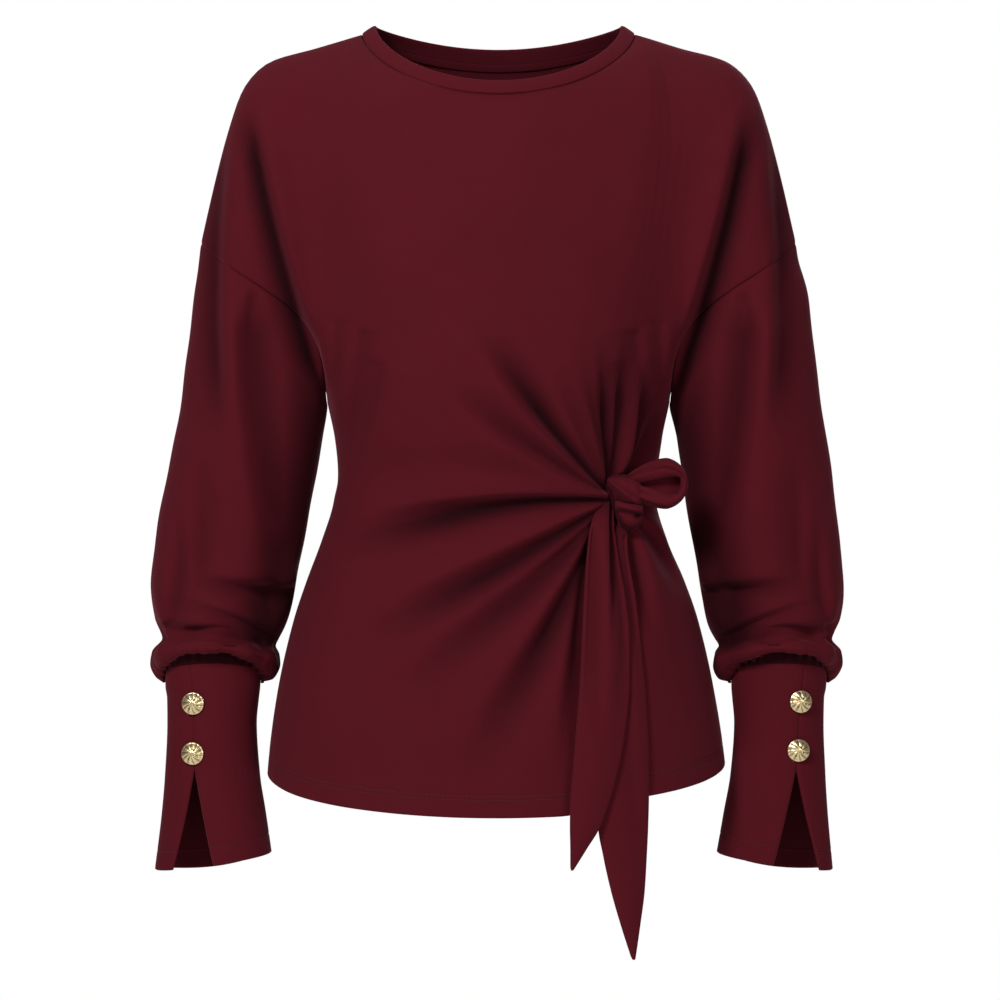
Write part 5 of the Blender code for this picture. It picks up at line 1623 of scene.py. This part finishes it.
def cloth_material(name, rib, weave_turn=0.0):
    """Soft knit: fine ribs, uneven yarn, a nap that catches grazing light, and shade painted into its colour
    in folds and hollows.
    """
    colours = bpy.context.scene.sweatshirt_colours
    nap = (*colours.sheen, 1.0)
    material, tree, shader, place = new_material(
        name, Sheen_Weight=NAP, Sheen_Roughness=NAP_ROUGH, Sheen_Tint=nap, Specular_IOR_Level=CLOTH_SHINE
    )
    turn = new_node(tree, "ShaderNodeMapping")
    set_inputs(turn, Rotation=(0.0, 0.0, weave_turn))
    link(tree, place["UV"], turn.inputs["Vector"])
    flat = turn.outputs["Vector"]
    ribs = new_node(tree, "ShaderNodeTexWave", bands_direction="X")
    set_inputs(ribs, Scale=math.pi / (10 * rib), Distortion=RIB_WARP)
    set_inputs(ribs, Detail=RIB_DETAIL[0], Detail_Scale=RIB_DETAIL[1])
    link(tree, flat, ribs.inputs["Vector"])
    fuzz = noise(tree, flat, FUZZ)
    yarn = mix_colour(tree, fuzz, colours.wine_dark, colours.wine)
    share = map_range(tree, noise(tree, place["Object"], PATCHES), PATCH_TO, PATCH_FROM)
    tone = mix_colour(tree, share, yarn, colours.wine)
    # Painted shade: the mesh's fold_shade darkens the tone towards the painted shade colour
    shaded = mix_colour(tree, own_shade_of(tree, "fold_shade"), tone, colours.wine_painted_shade)
    link(tree, shaded, shader.inputs["Base Color"])
    rough = map_range(tree, noise(tree, place["Object"], STREAKS), CLOTH_ROUGH)
    link(tree, rough, shader.inputs["Roughness"])
    relief = new_node(tree, "ShaderNodeMath", operation="MULTIPLY_ADD")
    relief.inputs[1].default_value = RIB_SHARE
    link(tree, ribs.outputs["Fac"], relief.inputs[0])
    link(tree, fuzz, relief.inputs[2])
    add_bump(tree, shader, relief.outputs["Value"], CLOTH_RELIEF)
    return material


def thread_material():
    """Sewing thread: a tight twist in the wine of the cloth."""
    thread = bpy.context.scene.sweatshirt_colours.thread
    material, tree, shader, place = new_material("wine_thread", Roughness=THREAD_ROUGH)
    uneven = noise(tree, place["Object"], THREAD_GRAIN)
    tone = mix_colour(tree, uneven, [THREAD_DARK * part for part in thread], thread)
    link(tree, tone, shader.inputs["Base Color"])
    add_bump(tree, shader, uneven, THREAD_RELIEF)
    return material


def gold_material():
    """Polished gold-coloured metal, with shade painted along its cuts and in its pit marks, and slightly
    uneven.
    """
    gold = bpy.context.scene.sweatshirt_colours.gold
    material, tree, shader, place = new_material("polished_gold_relief", Metallic=1.0)
    # Painted shade: the gold turns to a dark tone along the button's cuts and in its pit marks
    tone = mix_colour(tree, own_shade_of(tree, "painted_relief_shade"), gold, [GOLD_PAINTED_SHADE * part for part in gold])
    link(tree, tone, shader.inputs["Base Color"])
    hammered = noise(tree, place["Object"], GOLD_GRAIN)
    link(tree, map_range(tree, hammered, GOLD_ROUGH), shader.inputs["Roughness"])
    add_bump(tree, shader, hammered, GOLD_RELIEF)
    return material


def floor_material():
    """Pale matt floor with a faint unevenness."""
    material, tree, shader, place = new_material("pale_floor", Roughness=FLOOR_ROUGH)
    tone = mix_colour(tree, noise(tree, place["Object"], FLOOR_GRAIN), *FLOOR_TONES)
    link(tree, tone, shader.inputs["Base Color"])
    return material


def material_called(name, make):
    """Finds a material by name, or makes it."""
    return bpy.data.materials.get(name) or make()


def jersey():
    """The jersey of the body, sleeves, cuffs and tie."""
    rib = bpy.context.scene.sweatshirt_sizes.knit_rib
    return material_called("wine_jersey_knit", lambda: cloth_material("wine_jersey_knit", rib))


def binding_cloth():
    """The jersey of the neck band, cut across its ribs."""
    rib = bpy.context.scene.sweatshirt_sizes.knit_rib
    name = "wine_binding_knit"
    return material_called(name, lambda: cloth_material(name, rib, math.pi / 2))


def line_at(points, lengths, distance):
    """The line on a grid at a distance from its last row."""
    line = np.zeros((points.shape[1], 3))
    for column in range(points.shape[1]):
        for axis in range(3):
            line[column, axis] = np.interp(distance, lengths[::-1, column], points[::-1, column, axis])
    return line


def stitch_shape(length, width):
    """Models one stitch along X at the origin: a short thread with rounded ends."""
    deselect()
    bpy.ops.mesh.primitive_cylinder_add(
        vertices=STITCH_SIDES, radius=width / 2, depth=length * STITCH_STRAIGHT, rotation=(0, math.pi / 2, 0)
    )
    piece = bpy.context.object
    bpy.ops.object.transform_apply(location=True, rotation=True, scale=True)
    bpy.ops.object.mode_set(mode="EDIT")
    body = bmesh.from_edit_mesh(piece.data)
    for face in body.faces:
        face.select_set(abs(face.normal.x) > FACES_ALONG)
    bmesh.update_edit_mesh(piece.data)
    bpy.ops.mesh.extrude_faces_move(TRANSFORM_OT_shrink_fatten={"value": length * STITCH_END})
    bpy.ops.object.mode_set(mode="OBJECT")
    for vertex in piece.data.vertices:
        if abs(vertex.co.x) > length * STITCH_ENDS_AT:
            vertex.co.y *= STITCH_TAPER
            vertex.co.z *= STITCH_TAPER
            vertex.co.z -= width * STITCH_SINKS
    vertices = np.array([tuple(vertex.co) for vertex in piece.data.vertices]) / MM
    faces = [list(face.vertices) for face in piece.data.polygons]
    bpy.data.objects.remove(piece)
    return vertices, faces


def along_line(places, lengths, line):
    """Points of a line at some lengths along it."""
    return np.stack([np.interp(places, lengths, line[:, k]) for k in range(3)], axis=-1)


def stitch_rows(name, rows, material):
    """Adds rows of stitches along lines, each with its outward directions."""
    sizes = bpy.context.scene.sweatshirt_sizes
    pitch = sizes.stitch_length / MM * STITCH_PITCH
    shape, shape_faces = stitch_shape(sizes.stitch_length, sizes.stitch_width)
    vertices = []
    faces = []
    for line, outward in rows:
        lengths = np.concatenate([[0], np.cumsum(np.linalg.norm(np.diff(line, axis=0), axis=1))])
        places = np.arange(pitch / 2, lengths[-1], pitch)
        centre = along_line(places, lengths, line)
        up = unit(along_line(places, lengths, outward))
        along = unit(along_line(places + STITCH_STEP, lengths, line) - centre)
        aside = unit(np.cross(up, along))
        for k in range(len(places)):
            start = len(vertices) * len(shape)
            turned = shape[:, :1] * along[k] + shape[:, 1:2] * aside[k] + shape[:, 2:] * up[k]
            vertices.append(turned + centre[k] + up[k] * STITCH_LIFT)
            faces += [[corner + start for corner in face] for face in shape_faces]
    return add_piece(name, np.concatenate(vertices), faces, None, material)


# Outer sides of the pieces to stitch, and their points' distances from the lower edge
STITCHED = {}


class SWEATSHIRT_OT_body(bpy.types.Operator):
    """Makes the front and back with their folds"""

    bl_idname = "sweatshirt.body"
    bl_label = "Front and back"

    def execute(self, context):
        for word, side in SIDES.items():
            piece, outer, to_hem = add_body(word + "_body", side, jersey())
            dress(piece, word + "_panel")
            STITCHED[word] = (outer, to_hem)
        return {"FINISHED"}


class SWEATSHIRT_OT_sleeves(bpy.types.Operator):
    """Makes both sleeves with their folds and gathers"""

    bl_idname = "sweatshirt.sleeves"
    bl_label = "Sleeves"

    def execute(self, context):
        for word, hand in HANDS.items():
            piece = add_sleeve("sleeve_" + word + "_cloth", hand, jersey())
            dress(piece, "sleeve_" + word)
        return {"FINISHED"}


class SWEATSHIRT_OT_cuffs(bpy.types.Operator):
    """Makes both cuffs, slit at the front"""

    bl_idname = "sweatshirt.cuffs"
    bl_label = "Cuffs"

    def execute(self, context):
        for word, hand in HANDS.items():
            piece, outer, to_edge = add_cuff("cuff_" + word + "_cloth", hand, jersey())
            dress(piece, "cuff_" + word)
            STITCHED["cuff_" + word] = (outer, to_edge)
        return {"FINISHED"}


class SWEATSHIRT_OT_neck(bpy.types.Operator):
    """Makes the band round the neck and the strip inside the back neck"""

    bl_idname = "sweatshirt.neck"
    bl_label = "Neck band"

    def execute(self, context):
        band = add_binding(binding_cloth())
        dress(band, "neck_binding")
        strip = add_tape(binding_cloth())
        dress(strip, "neck_tape")
        return {"FINISHED"}


class SWEATSHIRT_OT_tie(bpy.types.Operator):
    """Makes the knot, the loop and the two tails of the tie"""

    bl_idname = "sweatshirt.tie"
    bl_label = "Tie"

    def execute(self, context):
        knot = add_knot(jersey())
        dress(knot, "tie_knot")
        loop = add_loop(jersey())
        dress(loop, "tie_loop")
        tails = (
            ("tail_front", "tie_tail_front", TAIL_FRONT, TAIL_FRONT_FOLDS),
            ("tail_back", "tie_tail_back", TAIL_BACK, TAIL_BACK_FOLDS),
        )
        for name, node, table, folds in tails:
            tail = add_tail(name, table, folds, jersey())
            dress(tail, node)
        return {"FINISHED"}


class SWEATSHIRT_OT_stitches(bpy.types.Operator):
    """Sews the hem with two rows of stitches and each cuff with one"""

    bl_idname = "sweatshirt.stitches"
    bl_label = "Stitches"

    def execute(self, context):
        thread = material_called("wine_thread", thread_material)
        for word, (outer, to_edge) in STITCHED.items():
            places = (CUFF_STITCH,) if word.startswith("cuff") else HEM_STITCHES
            normals = grid_normals(outer, False)
            rows = []
            for place in places:
                rows.append((line_at(outer, to_edge, place), line_at(normals, to_edge, place)))
            stitches = stitch_rows(word + "_stitches", rows, thread)
            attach(stitches, "root")
        return {"FINISHED"}


class SWEATSHIRT_OT_buttons(bpy.types.Operator):
    """Makes the four domed gold buttons"""

    bl_idname = "sweatshirt.buttons"
    bl_label = "Buttons"

    def execute(self, context):
        gold = material_called("polished_gold_relief", gold_material)
        for word, hand in HANDS.items():
            for place, drops in BUTTON_DROPS.items():
                node = "button_" + word + "_" + place
                piece = add_button(node + "_gold", hand, drops[hand], gold)
                dress(piece, node)
        return {"FINISHED"}


def button_relief(reach, turn):
    """Height of a button's face in millimetres, and the shade painted along its cuts and in its pit marks.
    """
    dome = BUTTON_DOME[0] * (1 - np.clip(reach, 0, 1) ** BUTTON_DOME[1])
    rays = np.zeros(np.broadcast(reach, turn).shape)
    # Painted shade along the cuts and in the pit marks
    painted_relief_shade = np.zeros(rays.shape)
    worn = 1 - CUT_ENDS[0] * smoothstep((reach - CUT_ENDS[1]) / CUT_ENDS[2])
    window = smoothstep((reach - CUT_STARTS[0]) / CUT_STARTS[1]) * worn
    for at, wide, deep in BUTTON_CUTS:
        swirl = at + CUT_SWIRL * (reach - 0.5)
        apart = np.angle(np.exp(1j * (turn - swirl)))
        cut = hump(apart / (wide * CUT_WIDTH)) * window
        rays -= deep * cut
        painted_relief_shade += CUT_PAINTED_SHADE[0] * hump(apart / (wide * CUT_PAINTED_SHADE[1])) * window
    for x, y, size in BUTTON_PITS:
        far = np.hypot(reach * np.cos(turn) - x, reach * np.sin(turn) - y)
        rays -= PIT_DEPTH * hump(far / size)
        painted_relief_shade += PIT_PAINTED_SHADE[0] * hump(far / (size * PIT_PAINTED_SHADE[1]))
    rim = BUTTON_RIM[0] * hump((reach - BUTTON_RIM[1]) / BUTTON_RIM[2])
    return dome + rays + rim, np.clip(painted_relief_shade, 0, 1)


def add_button(name, hand, drop, material):
    """Adds one button: a disc drawn into rings, domed, cut with rays and set on the cuff."""
    angle = math.radians(float(read_table(SLIT_ANGLE[hand], 1, drop)))
    here = cuff_point(np.array(drop), np.array(angle), hand)
    way_round = cuff_point(np.array(drop), np.array(angle + ANGLE_STEP), hand) - here
    way_down = cuff_point(np.array(drop + DROP_STEP), np.array(angle), hand) - here
    outward = unit(np.cross(way_down, way_round)) * -hand
    outward = unit(outward * (1 - BUTTON_FACES_FRONT) + np.array((0.0, -1.0, 0.0)) * BUTTON_FACES_FRONT)
    aside = unit(np.cross((0.0, 0.0, 1.0), outward))
    upward = np.cross(outward, aside)

    deselect()
    bpy.ops.mesh.primitive_circle_add(vertices=BUTTON_RAYS, radius=1.0, fill_type="NOTHING")
    piece = bpy.context.object
    piece.name = name
    piece.data.name = name
    bpy.ops.object.mode_set(mode="EDIT")
    bpy.ops.mesh.select_all(action="SELECT")
    for ring in range(BUTTON_RINGS - 1):
        left = BUTTON_RINGS - ring
        bpy.ops.mesh.extrude_region_move()
        bpy.ops.transform.resize(value=((left - 1) / left, (left - 1) / left, 1))
    bpy.ops.mesh.edge_face_add()
    bpy.ops.mesh.select_all(action="SELECT")
    bpy.ops.mesh.normals_make_consistent(inside=False)
    bpy.ops.object.mode_set(mode="OBJECT")

    flat = np.array([tuple(vertex.co) for vertex in piece.data.vertices])
    reach = np.hypot(flat[:, 0], flat[:, 1])
    turn = np.arctan2(flat[:, 1], flat[:, 0])
    height, painted_relief_shade = button_relief(reach, turn)
    face_at = here + outward * BUTTON_STANDS
    aside_by = flat[:, :1] * BUTTON_RADIUS
    up_by = flat[:, 1:2] * BUTTON_RADIUS
    places = face_at + aside * aside_by + upward * up_by + outward * height[:, None]
    for vertex, place in zip(piece.data.vertices, places):
        vertex.co = Vector(place) * MM
    # Painted shade of the cuts and pit marks, which darkens the gold
    attribute = piece.data.attributes.new("painted_relief_shade", "FLOAT", "POINT")
    attribute.data.foreach_set("value", painted_relief_shade.astype(np.float32))

    bpy.ops.object.mode_set(mode="EDIT")
    body = bmesh.from_edit_mesh(piece.data)
    for edge in body.edges:
        edge.select_set(edge.is_boundary)
    bmesh.update_edit_mesh(piece.data)
    back = outward * -BUTTON_BACK * MM
    bpy.ops.mesh.extrude_region_move(TRANSFORM_OT_translate={"value": tuple(back)})
    centre = tuple((here + outward * BUTTON_TAPERS_AT) * MM)
    bpy.ops.transform.resize(value=(BUTTON_TAPER,) * 3, center_override=centre)
    bpy.ops.mesh.edge_face_add()
    bpy.ops.mesh.select_all(action="SELECT")
    bpy.ops.mesh.normals_make_consistent(inside=False)
    bpy.ops.object.mode_set(mode="OBJECT")
    piece.data.shade_smooth()
    piece.data.materials.append(material)
    return piece


def add_area(name, place, size, power):
    """Adds one soft light that looks at the garment."""
    light = bpy.data.lights.new(name, "AREA")
    light.shape = "DISK"
    light.size = size
    light.energy = power
    lamp = bpy.data.objects.new(name, light)
    lamp.location = place
    lamp.rotation_euler = (Vector(LAMPS_AIM) - Vector(place)).to_track_quat("-Z", "Y").to_euler()
    bpy.context.scene.collection.objects.link(lamp)


class SWEATSHIRT_OT_stage(bpy.types.Operator):
    """Sets up the floor, the lights and the camera"""

    bl_idname = "sweatshirt.stage"
    bl_label = "Stage"

    def execute(self, context):
        scene = context.scene
        drop = scene.sweatshirt_sizes.floor_drop
        deselect()
        bpy.ops.mesh.primitive_plane_add(size=FLOOR_SIZE, location=(0, 0, -drop))
        floor = context.object
        floor.name = "floor"
        bpy.ops.object.transform_apply(location=True, rotation=True, scale=True)
        floor.data.materials.append(floor_material())
        world = bpy.data.worlds.new("white_room")
        world.use_nodes = True
        tree = world.node_tree
        room = tree.nodes["Background"]
        set_inputs(room, Color=WHITE, Strength=ROOM_LIGHT)
        backdrop = new_node(tree, "ShaderNodeBackground")
        set_inputs(backdrop, Color=WHITE)
        rays = new_node(tree, "ShaderNodeLightPath")
        choose = new_node(tree, "ShaderNodeMixShader")
        link(tree, rays.outputs["Is Camera Ray"], choose.inputs[0])
        link(tree, room.outputs[0], choose.inputs[1])
        link(tree, backdrop.outputs[0], choose.inputs[2])
        link(tree, choose.outputs[0], tree.nodes["World Output"].inputs["Surface"])
        scene.world = world
        for name, place, size, power in LAMPS:
            add_area(name, place, size, power)
        lens = bpy.data.cameras.new("photo_view")
        lens.lens = CAMERA_LENS
        lens.sensor_width = CAMERA_SENSOR
        camera = bpy.data.objects.new("photo_view", lens)
        camera.location = CAMERA_AT
        camera.rotation_euler = (math.pi / 2, 0.0, 0.0)
        scene.collection.objects.link(camera)
        scene.camera = camera
        scene.view_settings.view_transform = "Standard"
        return {"FINISHED"}


class SWEATSHIRT_PT_pieces(bpy.types.Panel):
    """Lists the pieces of the sweatshirt"""

    bl_label = "Sweatshirt"
    bl_idname = "SWEATSHIRT_PT_pieces"
    bl_space_type = "VIEW_3D"
    bl_region_type = "UI"
    bl_category = "Sweatshirt"

    def draw(self, context):
        for group in (context.scene.sweatshirt_sizes, context.scene.sweatshirt_colours):
            for name in group.__annotations__:
                self.layout.prop(group, name)
        for step in STEPS:
            self.layout.operator(step.bl_idname)


STEPS = (
    SWEATSHIRT_OT_body,
    SWEATSHIRT_OT_sleeves,
    SWEATSHIRT_OT_cuffs,
    SWEATSHIRT_OT_neck,
    SWEATSHIRT_OT_tie,
    SWEATSHIRT_OT_stitches,
    SWEATSHIRT_OT_buttons,
    SWEATSHIRT_OT_stage,
)
CLASSES = (SweatshirtSizes, SweatshirtColours) + STEPS + (SWEATSHIRT_PT_pieces,)


def register():
    for item in CLASSES:
        bpy.utils.register_class(item)
    bpy.types.Scene.sweatshirt_sizes = PointerProperty(type=SweatshirtSizes)
    bpy.types.Scene.sweatshirt_colours = PointerProperty(type=SweatshirtColours)


def unregister():
    del bpy.types.Scene.sweatshirt_colours
    del bpy.types.Scene.sweatshirt_sizes
    for item in reversed(CLASSES):
        bpy.utils.unregister_class(item)


def main():
    register()
    bpy.ops.sweatshirt.body()
    bpy.ops.sweatshirt.sleeves()
    bpy.ops.sweatshirt.cuffs()
    bpy.ops.sweatshirt.neck()
    bpy.ops.sweatshirt.tie()
    bpy.ops.sweatshirt.stitches()
    bpy.ops.sweatshirt.buttons()
    bpy.ops.sweatshirt.stage()


if __name__ == "__main__":
    main()
